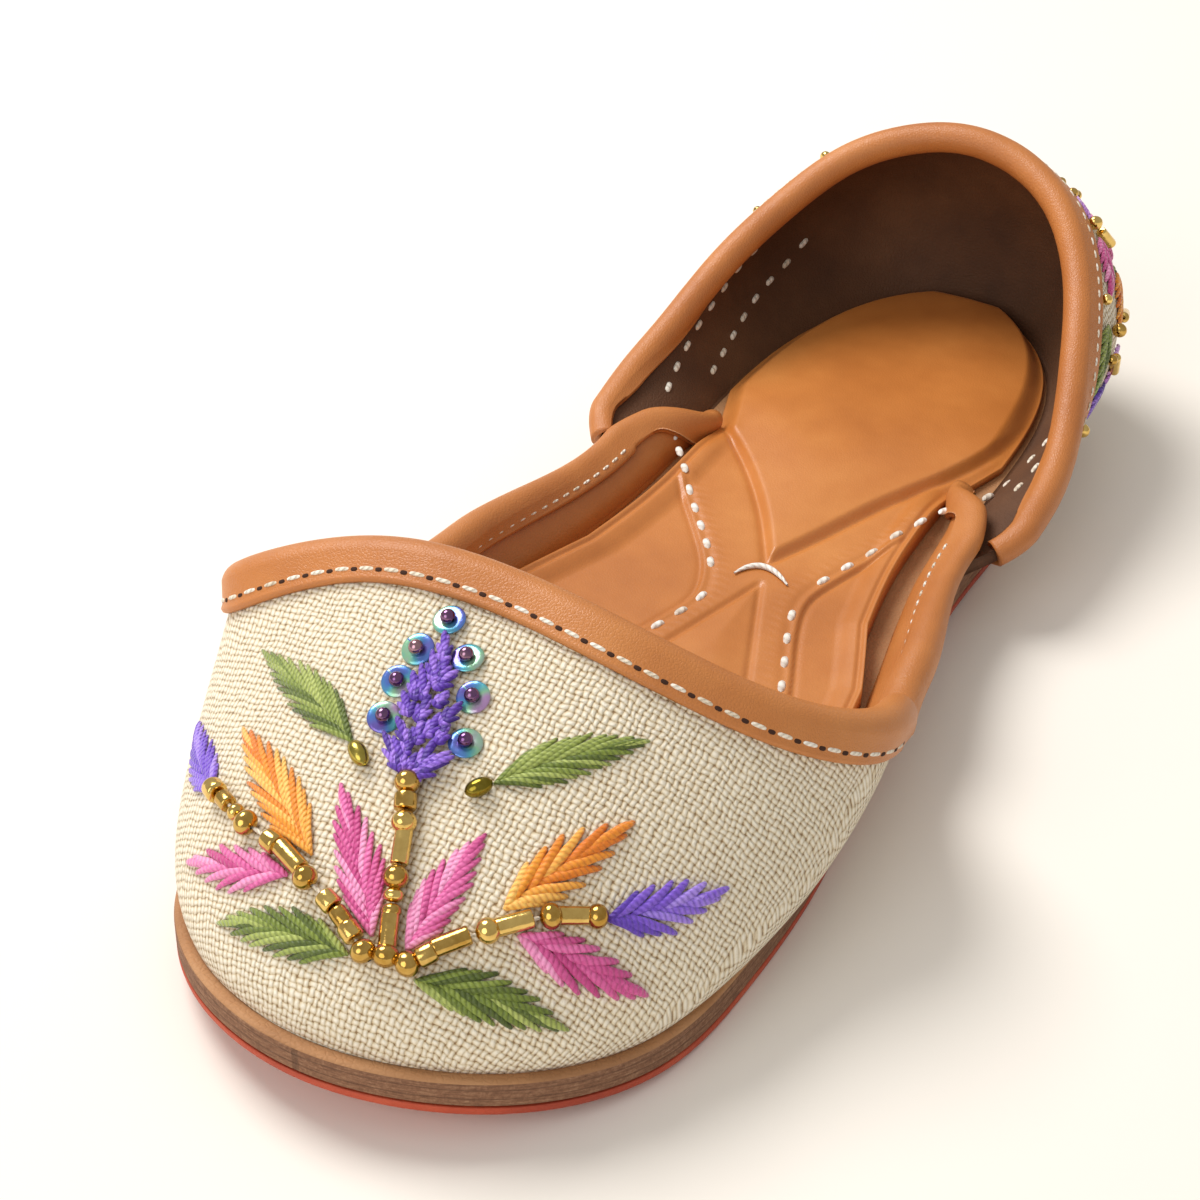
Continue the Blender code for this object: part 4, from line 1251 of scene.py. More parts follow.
# Petals of the lavender, from its foot to its tip. The first ones lie highest.
petalForm = {"width": 0.95, "strands": 3, "radius": 0.52, "reach": 0.85, "lift": 0.9, "stack": 0.035}
Petal = namedtuple("Petal", "baseX baseY tipX tipY width")
petals = [
    Petal(412, 786, 456, 762, 3.0),
    Petal(403, 778, 386, 736, 2.8),
    Petal(408, 776, 396, 741, 2.6),
    Petal(421, 777, 453, 757, 2.8),
    Petal(420, 778, 439, 742, 3.0),
    Petal(411, 776, 420, 758, 2.2),
    Petal(409, 762, 410, 734, 2.4),
    Petal(413, 755, 399, 721, 2.8),
    Petal(441, 750, 450, 728, 2.6),
    Petal(419, 750, 425, 722, 3.4),
    Petal(429, 743, 443, 717, 2.8),
    Petal(412, 722, 405, 695, 3.0),
    Petal(443, 731, 464, 706, 3.2),
    Petal(420, 728, 432, 699, 3.2),
    Petal(418, 706, 415, 675, 2.8),
    Petal(426, 707, 423, 667, 2.8),
    Petal(438, 712, 450, 695, 2.8),
    Petal(436, 694, 460, 674, 3.2),
    Petal(436, 688, 434, 653, 2.8),
    Petal(441, 684, 451, 655, 2.6),
    Petal(446, 667, 446, 634, 3.0),
]
vampPatch = makePatch(vamp)


def pixelLeaves(patch, table):
    # Both ends of each leaf, laid on the patch
    ends = np.array([(row.baseX, row.baseY, row.tipX, row.tipY) for row in table], float)
    return patchAt(patch, ends[:, :2]), patchAt(patch, ends[:, 2:])


bases, tips = pixelLeaves(vampPatch, vampLeaves)
bundles = {}
for row, base, tip in zip(vampLeaves, bases, tips):
    made = leafStrands(vampPatch, base, tip, row.width, row.count, row.radius, row.bow)
    bundles.setdefault(row.colour, []).append(made)
bases, tips = pixelLeaves(vampPatch, petals)
for number, (row, base, tip) in enumerate(zip(petals, bases, tips)):
    lift = petalForm["lift"] + petalForm["stack"] * (len(petals) - number)
    size = (petalForm["width"] * row.width, petalForm["strands"], petalForm["radius"])
    made = leafStrands(vampPatch, base, tip, *size, 0.0, petalForm["reach"], lift)
    bundles.setdefault("purple", []).append(made)
for colour, sets in bundles.items():
    makeThreads("vamp_" + colour, sets, threads[colour])
print("vamp leaves ready")


# Beads: a profile turned round the thread. radius = size * (1 - |2 x / length| ** power) ** (1 / power)
beadKinds = {
    "round": {"length": 3.3, "radius": 1.85, "power": 2.0},
    "small": {"length": 2.0, "radius": 1.40, "power": 2.2},
    "cylinder": {"length": 2.7, "radius": 1.60, "power": 6.0},
    "tube": {"length": 2.8, "radius": 1.30, "power": 7.0},
    "bugle": {"length": 5.4, "radius": 1.35, "power": 14.0},
    "seed": {"length": 1.7, "radius": 1.05, "power": 2.2},
    "slim": {"length": 4.8, "radius": 1.0, "power": 12.0},
    "pearl": {"length": 2.2, "radius": 1.15, "power": 2.0},
    "oval": {"length": 4.2, "radius": 1.35, "power": 2.1},
}


beadForm = {"rings": 15, "sides": 18, "hole": 0.30, "rest": 0.92, "vary": 0.05, "aim": 0.5}


def beadShape(kind):
    # Along x from end to end, with the thread's hole left open at both ends
    half = beadKinds[kind]["length"] / 2
    turn = np.linspace(0.0, math.pi, beadForm["rings"])
    power = beadKinds[kind]["power"]
    x = -half * np.sign(np.cos(turn)) * np.abs(np.cos(turn)) ** (2.0 / power)
    radius = beadKinds[kind]["radius"] * np.abs(np.sin(turn)) ** (2.0 / power)
    points, uv = lathe(x, np.maximum(radius, beadForm["hole"]), beadForm["sides"])
    faces = gridFaces(beadForm["rings"], beadForm["sides"], wrapColumns=True)
    return points.reshape(-1, 3), faces, uv.reshape(-1, 2)


def placeBeads(patch, kinds, flat, directions, lift=0.0):
    # Stamps beads at flat places, each lying along its direction, resting on the cloth
    parts = []
    kinds = np.array(kinds)
    point, normal = onPatch(patch, flat, 0.0)
    ahead, _ = onPatch(patch, flat + directions * beadForm["aim"], 0.0)
    along = unit(ahead - point)
    side = unit(np.cross(normal, along))
    up = np.cross(along, side)
    axes = np.stack([along, side, up], axis=1)
    low, high = 1.0 - beadForm["vary"], 1.0 + beadForm["vary"]
    for kind in sorted(set(kinds.tolist())):
        chosen = kinds == kind
        points, faces, uv = beadShape(kind)
        height = beadKinds[kind]["radius"] * beadForm["rest"] + lift
        origin = point[chosen] + normal[chosen] * height
        scales = dice.uniform(low, high, (chosen.sum(), 3))
        shades = dice.uniform(0, 1, chosen.sum())
        parts.append(stamp(points, faces, uv, origin, axes[chosen], scales, shades))
    return parts


def goldMaterial(name, dark, light, roughness):
    # Plated glass: gold that differs a little from bead to bead, with an uneven gloss
    material, tree, shader = startMaterial(name, roughness)
    cloudy = objectNoise(tree, 0.6, 3.0)
    value = blend(tree, pieceShade(tree), 0.5, cloudy, 0.5)
    tree.links.new(ramp(tree, value, (0.2, dark), (0.8, light)), shader.inputs["Base Color"])
    rough = put(tree, "MapRange", None, Value=cloudy, i3=roughness * 0.6, i4=roughness * 1.7).outputs[0]
    tree.links.new(rough, shader.inputs["Roughness"])
    shader.inputs["Metallic"].default_value = 1.0
    bumped(tree, shader, objectNoise(tree, 1.1, 2.0), 0.05)
    return material


gold = goldMaterial("gold_bead", (176, 134, 58), (242, 208, 126), 0.13)
oliveGold = goldMaterial("olive_bead", (124, 108, 34), (190, 172, 84), 0.18)
pearl = goldMaterial("purple_pearl", (96, 58, 120), (188, 150, 150), 0.14)

# The three arms of beads, from the foot outwards
Bead = namedtuple("Bead", "kind x y")
arms = [
    [
        Bead("round", 389, 957),
        Bead("bugle", 391, 935),
        Bead("small", 394, 913),
        Bead("small", 396, 898),
        Bead("round", 399, 881),
        Bead("bugle", 404, 849),
        Bead("round", 407, 827),
        Bead("cylinder", 408, 806),
        Bead("round", 410, 787),
    ],
    [
        Bead("round", 367, 953),
        Bead("cylinder", 354, 934),
        Bead("tube", 344, 919),
        Bead("cylinder", 332, 904),
        Bead("round", 310, 881),
        Bead("bugle", 294, 860),
        Bead("cylinder", 277, 845),
        Bead("round", 253, 827),
        Bead("small", 242, 816),
        Bead("tube", 231, 804),
        Bead("cylinder", 222, 794),
    ],
    [
        Bead("round", 410, 965),
        Bead("cylinder", 428, 956),
        Bead("bugle", 452, 943),
        Bead("round", 488, 933),
        Bead("bugle", 513, 925),
        Bead("round", 549, 918),
        Bead("bugle", 573, 917),
        Bead("round", 594, 918),
    ],
]
armCord = {"height": 1.2, "radius": 0.28, "steps": 60, "sides": 8, "shade": 0.6}
olives = {"places": [(361, 757), (480, 791)], "from": [(354, 744), (494, 785)]}
beadParts, cordPaths = [], []
for arm in arms:
    flat = patchAt(vampPatch, [(bead.x, bead.y) for bead in arm])
    directions = unit(np.gradient(flat, axis=0))
    beadParts += placeBeads(vampPatch, [bead.kind for bead in arm], flat, directions)
    walked = walkedAlong(flat)
    path = readAlong(np.linspace(0.0, walked[-1], armCord["steps"]), walked, flat)
    cordPaths.append(onPatch(vampPatch, path, armCord["height"]))
makeSet("vamp_beads", joined(beadParts), gold)
cords, cordUps = (np.stack(column) for column in zip(*cordPaths))
radii = np.full(cords.shape[:2] + (1,), armCord["radius"])
shades = np.full(len(arms), armCord["shade"])
makeSet("bead_cord", tubes(cords, cordUps, radii, armCord["sides"], 1.0, shades), creamThread)
ovalFlat = patchAt(vampPatch, olives["places"])
ovalFrom = patchAt(vampPatch, olives["from"])
made = joined(placeBeads(vampPatch, ["oval", "oval"], ovalFlat, unit(ovalFlat - ovalFrom)))
makeSet("olive_beads", made, oliveGold)


# Sequins: dished rings, each held by a small glass bead
sequin = {
    "radius": 2.5,
    "hole": 0.6,
    "thick": 0.5,
    "rings": 16,
    "sides": 36,
    "lift": 0.35,
    "lean": 0.16,
    "start": (0.3, 1.0, 0.1),
    "beadLift": 1.1,
    "colours": (
        (0.10, (112, 84, 176)),
        (0.32, (80, 122, 200)),
        (0.52, (86, 176, 190)),
        (0.70, (146, 200, 160)),
        (0.90, (180, 142, 190)),
    ),
}
sequinPlaces = [(450, 622), (419, 651), (399, 683), (385, 719), (468, 660), (474, 699), (466, 745)]


def sequinShape():
    # A thick ring: its section is an ellipse from the hole to the rim, higher in the middle
    rings, sides = sequin["rings"], sequin["sides"]
    turn = np.linspace(0.0, 2 * math.pi, rings, endpoint=False)
    middle, half = (sequin["radius"] + sequin["hole"]) / 2, (sequin["radius"] - sequin["hole"]) / 2
    out = middle + half * np.cos(turn)
    up = sequin["thick"] * (0.5 + 0.5 * np.sin(turn))
    around = np.linspace(0.0, 2 * math.pi, sides, endpoint=False)
    points = np.stack(
        [out[:, None] * np.cos(around), out[:, None] * np.sin(around), up[:, None] + 0 * around], -1
    )
    uv = np.stack([out[:, None] + 0 * around, around / (2 * math.pi) + 0 * out[:, None]], -1)
    faces = gridFaces(rings, sides, wrapRows=True, wrapColumns=True)
    return points.reshape(-1, 3), faces, uv.reshape(-1, 2)


def sequinMaterial():
    # Pearly: bands of teal, blue and violet, painted in as the sequins' iridescent reflection, that turn
    # with the angle round the ring and its place
    material, tree, shader = startMaterial("sequin", 0.24)
    _, v = uvParts(tree)
    wave = objectNoise(tree, 0.22, 2.0)
    around = maths(tree, "MULTIPLY", maths(tree, "ADD", v, pieceShade(tree)), 2 * math.pi)
    swing = maths(tree, "MULTIPLY_ADD", maths(tree, "SINE", around), 0.30, 0.5)
    value = maths(tree, "ADD", swing, centred(tree, wave, 0.9))
    tree.links.new(ramp(tree, value, *sequin["colours"]), shader.inputs["Base Color"])
    shader.inputs["Metallic"].default_value = 0.5
    shader.inputs["Coat Weight"].default_value = 0.6
    shader.inputs["Coat Roughness"].default_value = 0.05
    bumped(tree, shader, objectNoise(tree, 0.9, 2.0), 0.06)
    return material


flat = patchAt(vampPatch, sequinPlaces)
point, normal = onPatch(vampPatch, flat, sequin["lift"])
lean = unit(normal + sequin["lean"] * unit(dice.normal(size=normal.shape)))
side = unit(np.cross(lean, np.array(sequin["start"])))
axes = np.stack([side, np.cross(lean, side), lean], axis=1)
shape, faces, uv = sequinShape()
ones = np.ones((len(flat), 3))
made = stamp(shape, faces, uv, point, axes, ones, dice.uniform(0.0, 1.0, len(flat)))
makeSet("sequins", made, sequinMaterial())
shape, faces, uv = beadShape("pearl")
over = point + lean * sequin["beadLift"]
made = stamp(shape, faces, uv, over, axes, ones, dice.uniform(0.0, 1.0, len(flat)))
makeSet("sequin_beads", made, pearl)
print("beads ready")


# The quarter's garland in flat mm: u runs from the middle of the heel, depth down from the edge
Spray = namedtuple("Spray", "colour fromU fromDepth toU toDepth width")
garland = [
    Spray("pink", 6.0, 9.5, 18.0, 8.5, 5.2),
    Spray("orange", 8.0, 15.5, 21.0, 14.0, 5.0),
    Spray("green", 12.0, 21.5, 25.0, 20.0, 5.0),
    Spray("lilac", 20.0, 8.5, 33.0, 9.5, 5.4),
    Spray("pink", 25.0, 15.0, 36.0, 16.0, 4.8),
    Spray("green", 31.0, 21.5, 44.0, 20.5, 5.0),
    Spray("pink", 38.0, 9.0, 51.0, 9.5, 5.2),
    Spray("orange", 40.0, 15.0, 53.0, 14.5, 5.0),
    Spray("lilac", 49.0, 20.0, 58.0, 19.0, 4.6),
    Spray("green", 57.0, 8.5, 71.0, 9.0, 5.2),
    Spray("purple", 61.0, 15.0, 72.0, 15.0, 4.8),
]
Point = namedtuple("Point", "kind u depth turn")
garlandBeads = [
    Point("small", 3.5, 14.0, 0.0),
    Point("seed", 18.5, 11.8, 0.5),
    Point("slim", 35.5, 12.0, 1.2),
    Point("small", 36.5, 7.5, 0.0),
    Point("seed", 23.0, 12.2, 0.3),
    Point("slim", 45.5, 18.0, 0.3),
    Point("small", 54.5, 12.0, 0.0),
    Point("seed", 54.0, 6.8, 0.0),
    Point("slim", 56.0, 16.5, 1.0),
    Point("seed", 60.0, 12.0, 0.0),
    Point("small", 73.0, 11.6, 0.0),
    Point("slim", 77.0, 11.3, 0.1),
    Point("small", 27.0, 19.8, 0.0),
    Point("seed", 29.0, 6.0, 0.0),
]
garlandLeaf = {"strands": 6, "radius": 0.50, "bow": 0.2}
flowerForm = {
    "depth": 12.0,
    "petals": 5,
    "inner": 0.8,
    "outer": 6.2,
    "width": 4.2,
    "strands": 4,
    "radius": 0.46,
    "beadRing": 1.9,
    "beadLift": 0.7,
}
quarterPatch = makePatch(quarter)


def underEdge(u, depth):
    # Flat place at a depth below the quarter's edge
    top = quarter["uv"][:, -1]
    return np.stack([u, np.interp(u, top[:, 0], top[:, 1]) - depth], axis=-1)


bundles = {}
for row in garland:
    ends = underEdge(np.array([row.fromU, row.toU]), np.array([row.fromDepth, row.toDepth]))
    for base, tip in (ends, mirrored(ends)):
        made = leafStrands(quarterPatch, base, tip, row.width, *garlandLeaf.values())
        bundles.setdefault(row.colour, []).append(made)
flower = underEdge(np.array([0.0]), np.array([flowerForm["depth"]]))[0]
petalTurns = np.arange(flowerForm["petals"]) * 2 * math.pi / flowerForm["petals"]
for turn in petalTurns + math.pi / 2:
    aim = np.array([math.cos(turn), math.sin(turn)])
    base, tip = flower + flowerForm["inner"] * aim, flower + flowerForm["outer"] * aim
    size = (flowerForm["width"], flowerForm["strands"], flowerForm["radius"])
    bundles.setdefault("purple", []).append(leafStrands(quarterPatch, base, tip, *size))
for colour, sets in bundles.items():
    makeThreads("quarter_" + colour, sets, threads[colour])
u = np.array([row.u for row in garlandBeads])
flat = underEdge(u, np.array([row.depth for row in garlandBeads]))
turns = np.array([row.turn for row in garlandBeads])
aims = np.stack([np.cos(turns), np.sin(turns)], axis=-1)
kinds = [row.kind for row in garlandBeads]
flat, aims = (np.concatenate([places, mirrored(places)]) for places in (flat, aims))
makeSet("quarter_beads", joined(placeBeads(quarterPatch, kinds + kinds, flat, aims)), gold)
ring = flower + flowerForm["beadRing"] * np.stack([np.cos(petalTurns), np.sin(petalTurns)], axis=-1)
flat = np.concatenate([flower[None], ring])
aims = np.tile([1.0, 0.0], (len(flat), 1))
made = joined(placeBeads(quarterPatch, ["pearl"] * len(flat), flat, aims, flowerForm["beadLift"]))
makeSet("flower_beads", made, pearl)
print("garland ready")


# Two rows of stitches on the inner side of the quarter, where the photo shows them
liningStitch = {"size": (2.7, 1.2, 0.8), "pitch": 5.6, "lift": 0.05, "phase": 0.2, "stations": 300}
liningUpper = ((666, 394), (675, 371), (687, 346), (701, 321), (721, 292), (739, 267), (757, 248))
liningLower = ((708, 380), (723, 353), (739, 325), (751, 305), (766, 285), (784, 266), (807, 239))
inside = {"outer": quarter["inner"], "normal": -quarter["normal"], "uv": quarter["uv"]}
insidePatch = makePatch(inside)
rows = []
for places in (liningUpper, liningLower):
    flat = patchAt(insidePatch, places)
    order = np.argsort(flat[:, 0])
    knots = walkedAlong(flat[order])
    fine = splineThrough(knots, flat[order], np.linspace(knots[0], knots[-1], liningStitch["stations"]))
    for line in (fine, mirrored(fine)):
        path, ups = onPatch(insidePatch, line, liningStitch["lift"])
        size, phase = liningStitch["size"], liningStitch["phase"]
        rows.append(stitchRow(path, ups, liningStitch["pitch"], size, 0.0, phase))
makeStitches("lining_stitches", rows, creamThread)
print("lining stitches ready")


# Sole: both plates are rings round the outline, with the ring heights between two surfaces
sole = {"stations": 260, "ledgeLevel": 6}


def plateRings(foot, rings, base, top):
    # Closed rings round the outline. A ring is (inset, share of the height from base to top).
    points = []
    for inset, share in rings:
        half, _ = onOutline(foot, np.full(len(foot), inset))
        ring = np.concatenate([half, half[-2:0:-1] * np.array([-1.0, 1.0])])
        low, high = base(ring[:, 1]), top(ring[:, 1])
        points.append(np.column_stack([ring, low + (high - low) * share]))
    return np.array(points)


def makePlate(name, rings, base, top, materials, slotOf, replaced):
    # Faces between the rings, and a strip of faces across the top and the underside
    foot = np.linspace(0.0, 1.0, sole["stations"])
    points = plateRings(foot, rings, base, top)
    levels, around = points.shape[:2]
    sides = gridFaces(levels, around, wrapColumns=True)
    half = np.arange(sole["stations"] - 1)
    partner = (around - half) % around
    nextPartner = (around - half - 1) % around
    cap = np.stack([half, partner, nextPartner, half + 1], axis=1)
    capFaces = [tuple(dict.fromkeys(face)) for face in cap.tolist()]
    topFaces = [tuple(index + (levels - 1) * around for index in face) for face in capFaces]
    faces = sides.tolist() + [face[::-1] for face in topFaces] + capFaces
    slots = np.concatenate([np.repeat([slotOf(level) for level in range(levels - 1)], around)])
    slots = np.concatenate([slots, np.full(len(topFaces), slotOf(levels - 1)), np.zeros(len(capFaces))])
    closed = np.concatenate([points[0], points[0][:1]])
    u = np.broadcast_to(walkedAlong(closed)[:-1], (levels, around))
    v = points[:, :, 2] - base(points[:, :, 1])
    obj = makeMesh(name, points, faces, materials, np.stack([u, v], axis=-1), slots)
    recalculate(obj)
    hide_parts(replaced)


outsoleRings = [(0.75, 0.0), (0.35, 0.06), (0.10, 0.25), (0.0, 0.55), (0.0, 0.85), (0.06, 0.97), (0.25, 1.0)]
makePlate(
    "outsole_plate",
    outsoleRings,
    underside,
    lambda y: underside(y) + last["outsole"],
    [redLeather],
    lambda level: 0,
    "outsole",
)
midsoleRings = [(0.25, 0.0), (0.03, 0.03), (0.0, 0.10), (0.0, 0.35), (0.0, 0.60), (0.0, 0.80)]
midsoleRings += [(0.10, 0.90), (0.32, 0.96), (0.62, 0.99), (1.0, 1.0), (3.6, 1.0)]
makePlate(
    "midsole_plate",
    midsoleRings,
    lambda y: underside(y) + last["outsole"] + last["gap"],
    midsoleTop,
    [board, ledgeLeather],
    lambda level: 1 if level >= sole["ledgeLevel"] else 0,
    "midsole",
)
print("sole ready")


# Sock: a closed sheet whose top is a height over the footbed
sock = {
    "thick": 2.0,
    "crown": 2.4,
    "round": 4.0,
    "band": 0.75,
    "bandEdge": 2.0,
    "padSlope": 0.87,
    "padRound": 15.0,
    "padBlend": 5.0,
    "wedge": 0.8,
    "lip": 2.6,
    "lipWidth": 6.0,
    "edges": ((0.00, 2.2, 0.0), (0.12, 1.6, 0.0), (0.25, 1.1, 0.0), (0.48, 1.1, 0.0), (0.54, 1.1, 0.5))
    + ((0.69, 1.1, 0.5), (0.74, 0.5, 0.0), (1.00, 0.3, 0.0)),
    "stations": 460,
    "across": 171,
    "evenShare": 0.65,
    "edgeShare": 0.65,
    "bandRound": 0.9,
    "bandSeam": (0.28, 0.9),
    "bandCrease": (0.25, 0.6),
    "padEdge": 1.6,
    "padEdgeShare": 0.35,
    "padCrease": (0.75, 0.85),
    "wedgeRound": 7.0,
    "wedgeCrease": (0.6, 0.6),
    "lipCrease": (0.5, 0.5),
    "lipCreaseAt": 1.1,
    "rippleLength": 1.9,
    "rippleDepth": 0.05,
    "rippleAt": 4.2,
    "rippleWidth": 1.6,
    "waist": (0.30, 0.38, 0.66, 0.72),
}


def sockInset(foot):
    # How far the sock's rim stands in from the sole's edge, up to the wall and the leaning wings
    table = np.array(sock["edges"])
    wall = np.interp(foot, table[:, 0], table[:, 1])
    lean = np.interp(foot, table[:, 0], table[:, 2])
    return featherInset(foot) + wall * last["vampWall"] + lean * last["lean"] + last["gap"]


def sockHeight(x, y, edge):
    # Height of the sock's top. edge is how far the point is from the sock's rim.
    rise = smooth(0.0, sock["round"], edge)
    thick = sock["thick"] * (sock["edgeShare"] + (1.0 - sock["edgeShare"]) * rise)
    return midsoleTop(y) + last["gap"] + thick + sockRelief(x, y) * rise + sockLip(alongSole(y), edge)


# The sock's lines in plan, in mm, found by laying the photo's pixels on the footbed. Each row is (y, x).
padLeft = ((15.1, 3.7), (25.7, -2.2), (37.1, -10.0), (47.2, -18.8), (58.6, -28.5), (72.0, -29.0))
padLeft = padLeft + ((100.0, -26.5), (116.0, -17.0), (124.0, -6.0))
padRight = ((15.1, 3.7), (28.0, 9.5), (41.0, 14.8), (53.2, 20.8), (68.2, 26.0), (83.3, 27.8))
padRight = padRight + ((99.0, 26.5), (116.0, 17.0), (124.0, 6.0))
rowLeft = ((-40.0, -14.0), (-14.6, -6.5), (-4.2, -3.2), (1.4, -2.0), (6.0, -2.9), (11.0, -5.1), (16.3, -8.7))
rowLeft = rowLeft + ((25.7, -16.0), (35.0, -23.0), (46.7, -32.2), (60.0, -42.0))
rowRight = ((-40.0, 29.6), (-20.4, 22.9), (-8.8, 18.5), (3.8, 13.9), (9.0, 13.1), (15.3, 14.5), (27.3, 18.8))
rowRight = rowRight + ((43.6, 25.4), (54.7, 29.4), (66.0, 32.4), (80.0, 34.5))
wedgeLeft = ((-60.0, -16.3), (-16.3, -2.6), (9.6, 5.2))
wedgeRight = ((-60.0, 32.4), (-19.1, 16.4), (9.6, 5.2))


def lineAt(line, y):
    # Across place of a line of the sock at each y, smoothed between its rows
    table = np.array(line)
    fine = np.linspace(table[0, 0], table[-1, 0], 240)
    smoothed = splineThrough(table[:, 0], table[:, 1:], fine)[:, 0]
    return np.interp(y, fine, smoothed)


def groove(distance, depth, width):
    # A crease: depth * e ** -(distance / width) ** 2
    return depth * np.exp(-((distance / width) ** 2))


def sockRelief(x, y):
    # Two bands that cross, a full pad behind them and a full wedge before them, with creases between
    fromLeft = x - lineAt(rowLeft, y) + sock["bandEdge"]
    fromRight = lineAt(rowRight, y) + sock["bandEdge"] - x
    band = smooth(0.0, sock["bandRound"], fromLeft) * smooth(0.0, sock["bandRound"], fromRight)
    height = sock["band"] * band
    for away in (fromLeft, fromRight):
        height = height - groove(away - sock["bandEdge"], *sock["bandSeam"]) * band
    height = height - groove(fromLeft, *sock["bandCrease"]) - groove(fromRight, *sock["bandCrease"])
    fromPadLeft, fromPadRight = x - lineAt(padLeft, y), lineAt(padRight, y) - x
    inPad = sock["padSlope"] * np.minimum(fromPadLeft, fromPadRight)
    both = np.exp(-fromPadLeft / sock["padBlend"]) + np.exp(-fromPadRight / sock["padBlend"])
    rounded = -sock["padBlend"] * np.log(np.clip(both, 1e-9, 1e9)) * sock["padSlope"]
    padShare = smooth(0.0, sock["padEdge"], inPad) * sock["padEdgeShare"]
    crown = smooth(-sock["padBlend"], sock["padRound"], rounded)
    padShare = padShare + crown * (1.0 - sock["padEdgeShare"])
    padShare = padShare * smooth(-0.3, 0.5, inPad) * (y > padLeft[0][0])
    height = height + sock["crown"] * padShare
    height = height - groove(inPad, *sock["padCrease"]) * (y > padLeft[0][0] - 1.0)
    inWedge = np.minimum(x - lineAt(wedgeLeft, y), lineAt(wedgeRight, y) - x)
    wedgeTip = wedgeLeft[-1][0]
    height = height + sock["wedge"] * smooth(0.0, sock["wedgeRound"], inWedge) * (y < wedgeTip)
    height = height - groove(inWedge, *sock["wedgeCrease"]) * smooth(wedgeTip + 1.0, wedgeTip - 1.0, y)
    ripple = np.sin(2 * math.pi * y / sock["rippleLength"] + 0.6 * np.sin(x)) * sock["rippleDepth"]
    beside = groove(fromLeft - sock["rippleAt"], 1.0, sock["rippleWidth"])
    beside = beside + groove(fromRight - sock["rippleAt"], 1.0, sock["rippleWidth"])
    return height + ripple * beside * band


def sockLip(along, edge):
    # Along the waist the sock's rim climbs the wings, and ends under their flaps
    front, full, end, back = sock["waist"]
    waist = smooth(front, full, along) * (1.0 - smooth(end, back, along))
    crease = groove(edge - sock["lipCreaseAt"], *sock["lipCrease"])
    return waist * (sock["lip"] * smooth(sock["lipWidth"], 0.0, edge) - crease)


foot = np.linspace(0.0, 1.0, 900)
sockFlat, _ = onOutline(foot, sockInset(foot))
order = np.argsort(sockFlat[:, 1])
sockFlat = sockFlat[order]
sockY = np.linspace(sockFlat[0, 1], sockFlat[-1, 1], sock["stations"])
halfWidth = np.interp(sockY, sockFlat[:, 1], sockFlat[:, 0])
even = np.linspace(-1.0, 1.0, sock["across"])
across = np.sin(even * math.pi / 2) * (1.0 - sock["evenShare"]) + even * sock["evenShare"]
gridX = halfWidth[:, None] * across
gridY = np.broadcast_to(sockY[:, None], gridX.shape)
edge = np.minimum(halfWidth[:, None] - np.abs(gridX), sockY[-1] - gridY)
topZ = sockHeight(gridX, gridY, edge)
baseZ = midsoleTop(gridY) + last["gap"]
topPoints = np.stack([gridX, gridY, topZ], -1).reshape(-1, 3)
basePoints = np.stack([gridX, gridY, baseZ], -1).reshape(-1, 3)
sockFaces = np.concatenate(sheetFaces(*gridX.shape))
sockObject = makeMesh("sock", np.concatenate([topPoints, basePoints]), sockFaces, [sockLeather])
recalculate(sockObject)
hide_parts("insole")


def onSock(flat, lift, step=0.3):
    # Points at plan places on the sock's top, with the way up there
    x, y = flat[..., 0], flat[..., 1]
    inside = np.interp(y, sockY, halfWidth) - np.abs(x)
    height = sockHeight(x, y, inside)
    slopeX = (sockHeight(x + step, y, inside - step * np.sign(x)) - height) / step
    slopeY = (sockHeight(x, y + step, inside) - height) / step
    up = unit(np.stack([-slopeX, -slopeY, np.ones_like(slopeX)], axis=-1))
    return np.stack([x, y, height], axis=-1) + up * lift, up


# Stitches of the bands: (line, first y, last y, count)
sockStitch = {"size": (3.0, 1.35, 1.0), "lift": 0.1, "stations": 200, "fit": 0.9999}
sockRows = ((rowLeft, 11.0, 46.0, 9), (rowRight, 15.3, 72.0, 11), (rowLeft, -14.6, 1.4, 4))
sockRows = sockRows + ((rowRight, -20.4, 3.8, 5), (rowLeft, -36.0, -20.0, 4), (rowRight, -38.0, -27.0, 3))
rows = []
for line, firstY, lastY, count in sockRows:
    y = np.linspace(firstY, lastY, sockStitch["stations"])
    path, ups = onSock(np.stack([lineAt(line, y), y], axis=-1), sockStitch["lift"])
    pitch = walkedAlong(path)[-1] / (count - 1) * sockStitch["fit"]
    rows.append(stitchRow(path, ups, pitch, sockStitch["size"], 0.0, 0.0))
makeStitches("sock_stitches", rows, whiteThread)
# The thread across the middle: a curve a (1 - t) ** 2 + 2 b t (1 - t) + c t ** 2, thinner at both ends
sockBow = {"a": (0.3, 9.4), "b": (2.6, 17.0), "c": (9.8, 10.6), "radius": 0.62, "lift": 0.35, "flat": 0.8}
t = np.linspace(0.0, 1.0, 28)[:, None]
a, b, c = (np.array(sockBow[key]) for key in "abc")
path, ups = onSock(a * (1 - t) ** 2 + 2 * b * t * (1 - t) + c * t**2, sockBow["lift"])
thickness = sockBow["radius"] * np.sin(math.pi * np.clip(t, 0.03, 0.97)) ** 0.5
made = tubes(path[None], ups[None], thickness[None], 10, sockBow["flat"], np.array([0.8]))
makeSet("sock_bow", made, whiteThread)
print("sock ready")


# Floor, light and camera. Places and sizes are in metres, and powers in watts.
studio = {
    "floor": 3.0,
    "floorColour": (245, 239, 230),
    "worldColour": (252, 250, 248),
    "worldPower": 0.50,
    "target": (0.0, 0.0, 0.03),
    "keySize": 0.6,
    "keyPower": 9.5,
    "keyColour": (1.0, 0.98, 0.96),
    "fillSize": 1.0,
    "fillPower": 5.5,
    "fillColour": (1.0, 0.99, 0.97),
}


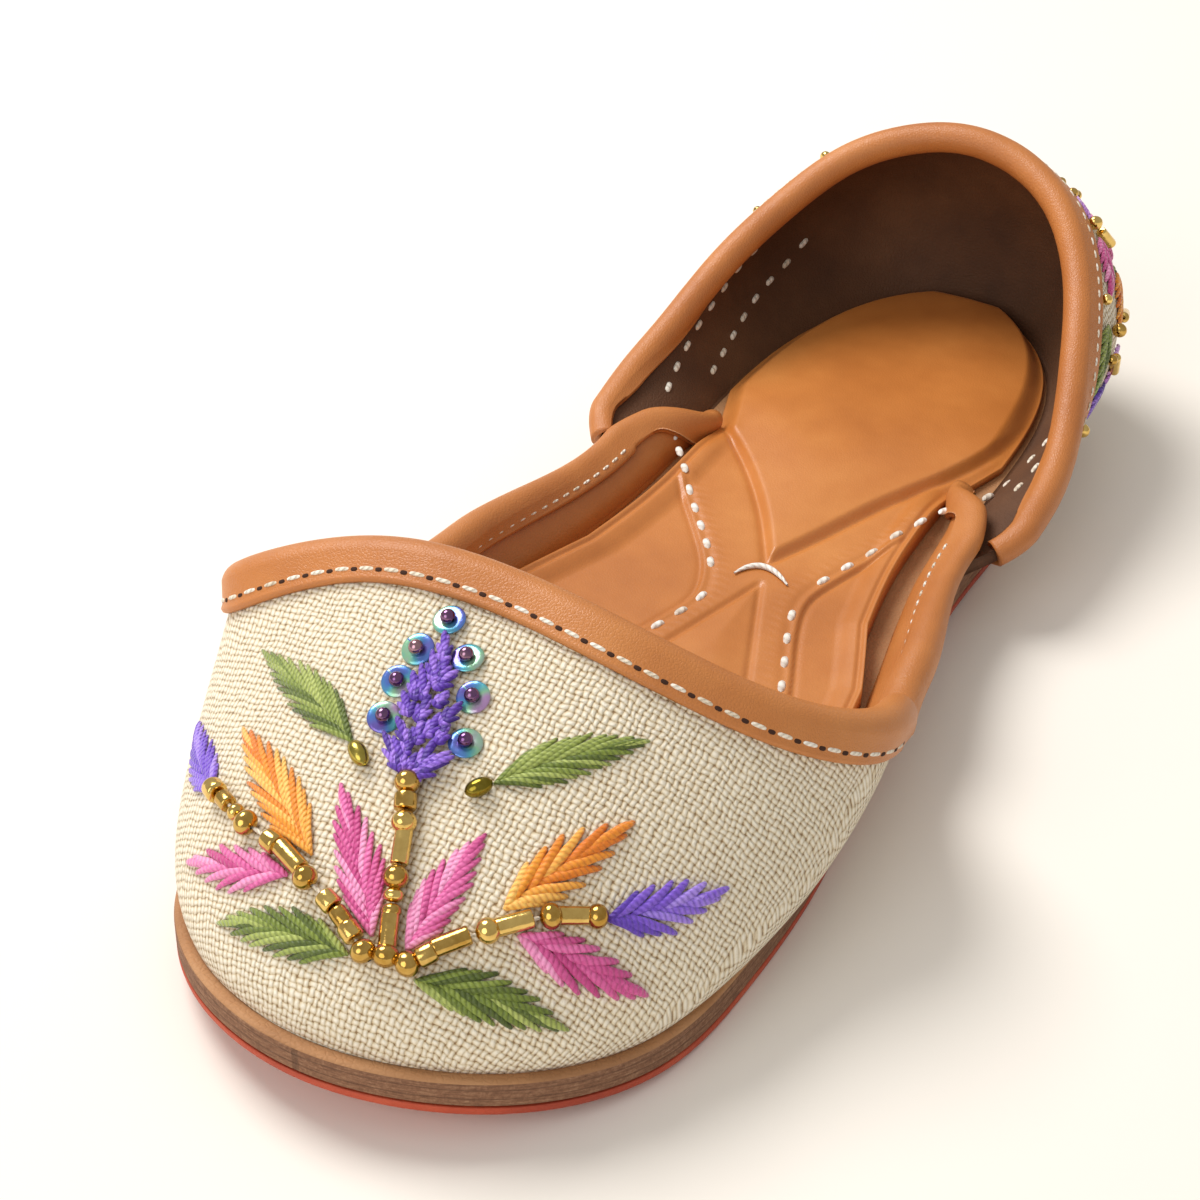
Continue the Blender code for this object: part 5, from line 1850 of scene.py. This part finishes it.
def makeFloor():
    mesh = bpy.data.meshes.new("floor")
    size = studio["floor"]
    corners = [(-size, -size, 0), (size, -size, 0), (size, size, 0), (-size, size, 0)]
    mesh.from_pydata(corners, [], [(0, 1, 2, 3)])
    material, _, shader = startMaterial("floor", 0.9)
    shader.inputs["Base Color"].default_value = linear(studio["floorColour"])
    shader.inputs["Specular IOR Level"].default_value = 0.1
    mesh.materials.append(material)
    floor = bpy.data.objects.new("floor", mesh)
    bpy.context.scene.collection.objects.link(floor)


def makeLight(name, place):
    light = bpy.data.lights.new(name, "AREA")
    light.shape = "DISK"
    light.size = studio[name + "Size"]
    light.energy = studio[name + "Power"]
    light.color = studio[name + "Colour"]
    obj = bpy.data.objects.new(name, light)
    obj.location = place
    obj.rotation_euler = (Vector(studio["target"]) - Vector(place)).to_track_quat("-Z", "Y").to_euler()
    bpy.context.scene.collection.objects.link(obj)


def makeCamera():
    data = bpy.data.cameras.new("photo_camera")
    data.sensor_fit = "HORIZONTAL"
    data.sensor_width = camera["sensor"]
    data.lens = camera["focal"] / camera["picture"] * camera["sensor"]
    data.clip_start = camera["clipStart"]
    obj = bpy.data.objects.new("photo_camera", data)
    turned = np.eye(4)
    turned[:3, 0], turned[:3, 1], turned[:3, 2] = eyeRight, eyeUp, eyeBack
    turned[:3, 3] = eye * mm
    obj.matrix_world = Matrix(turned.tolist())
    bpy.context.scene.collection.objects.link(obj)
    bpy.context.scene.camera = obj


def makeWorld():
    world = bpy.data.worlds.new("studio")
    world.use_nodes = True
    background = world.node_tree.nodes["Background"]
    background.inputs[0].default_value = linear(studio["worldColour"])
    background.inputs[1].default_value = studio["worldPower"]
    bpy.context.scene.world = world


makeFloor()
makeCamera()
makeWorld()
# The key stands behind the shoe on the photo's left, and the fill by the camera, further left
key = -eyeRight * 0.75 + np.array([0.0, 0.55, 1.0]) * 0.95
makeLight("key", tuple(key * 0.9))
makeLight("fill", tuple(eyeBack * 1.1 - eyeRight * 0.7))
bpy.context.scene.view_settings.view_transform = "Standard"
print("stage ready")
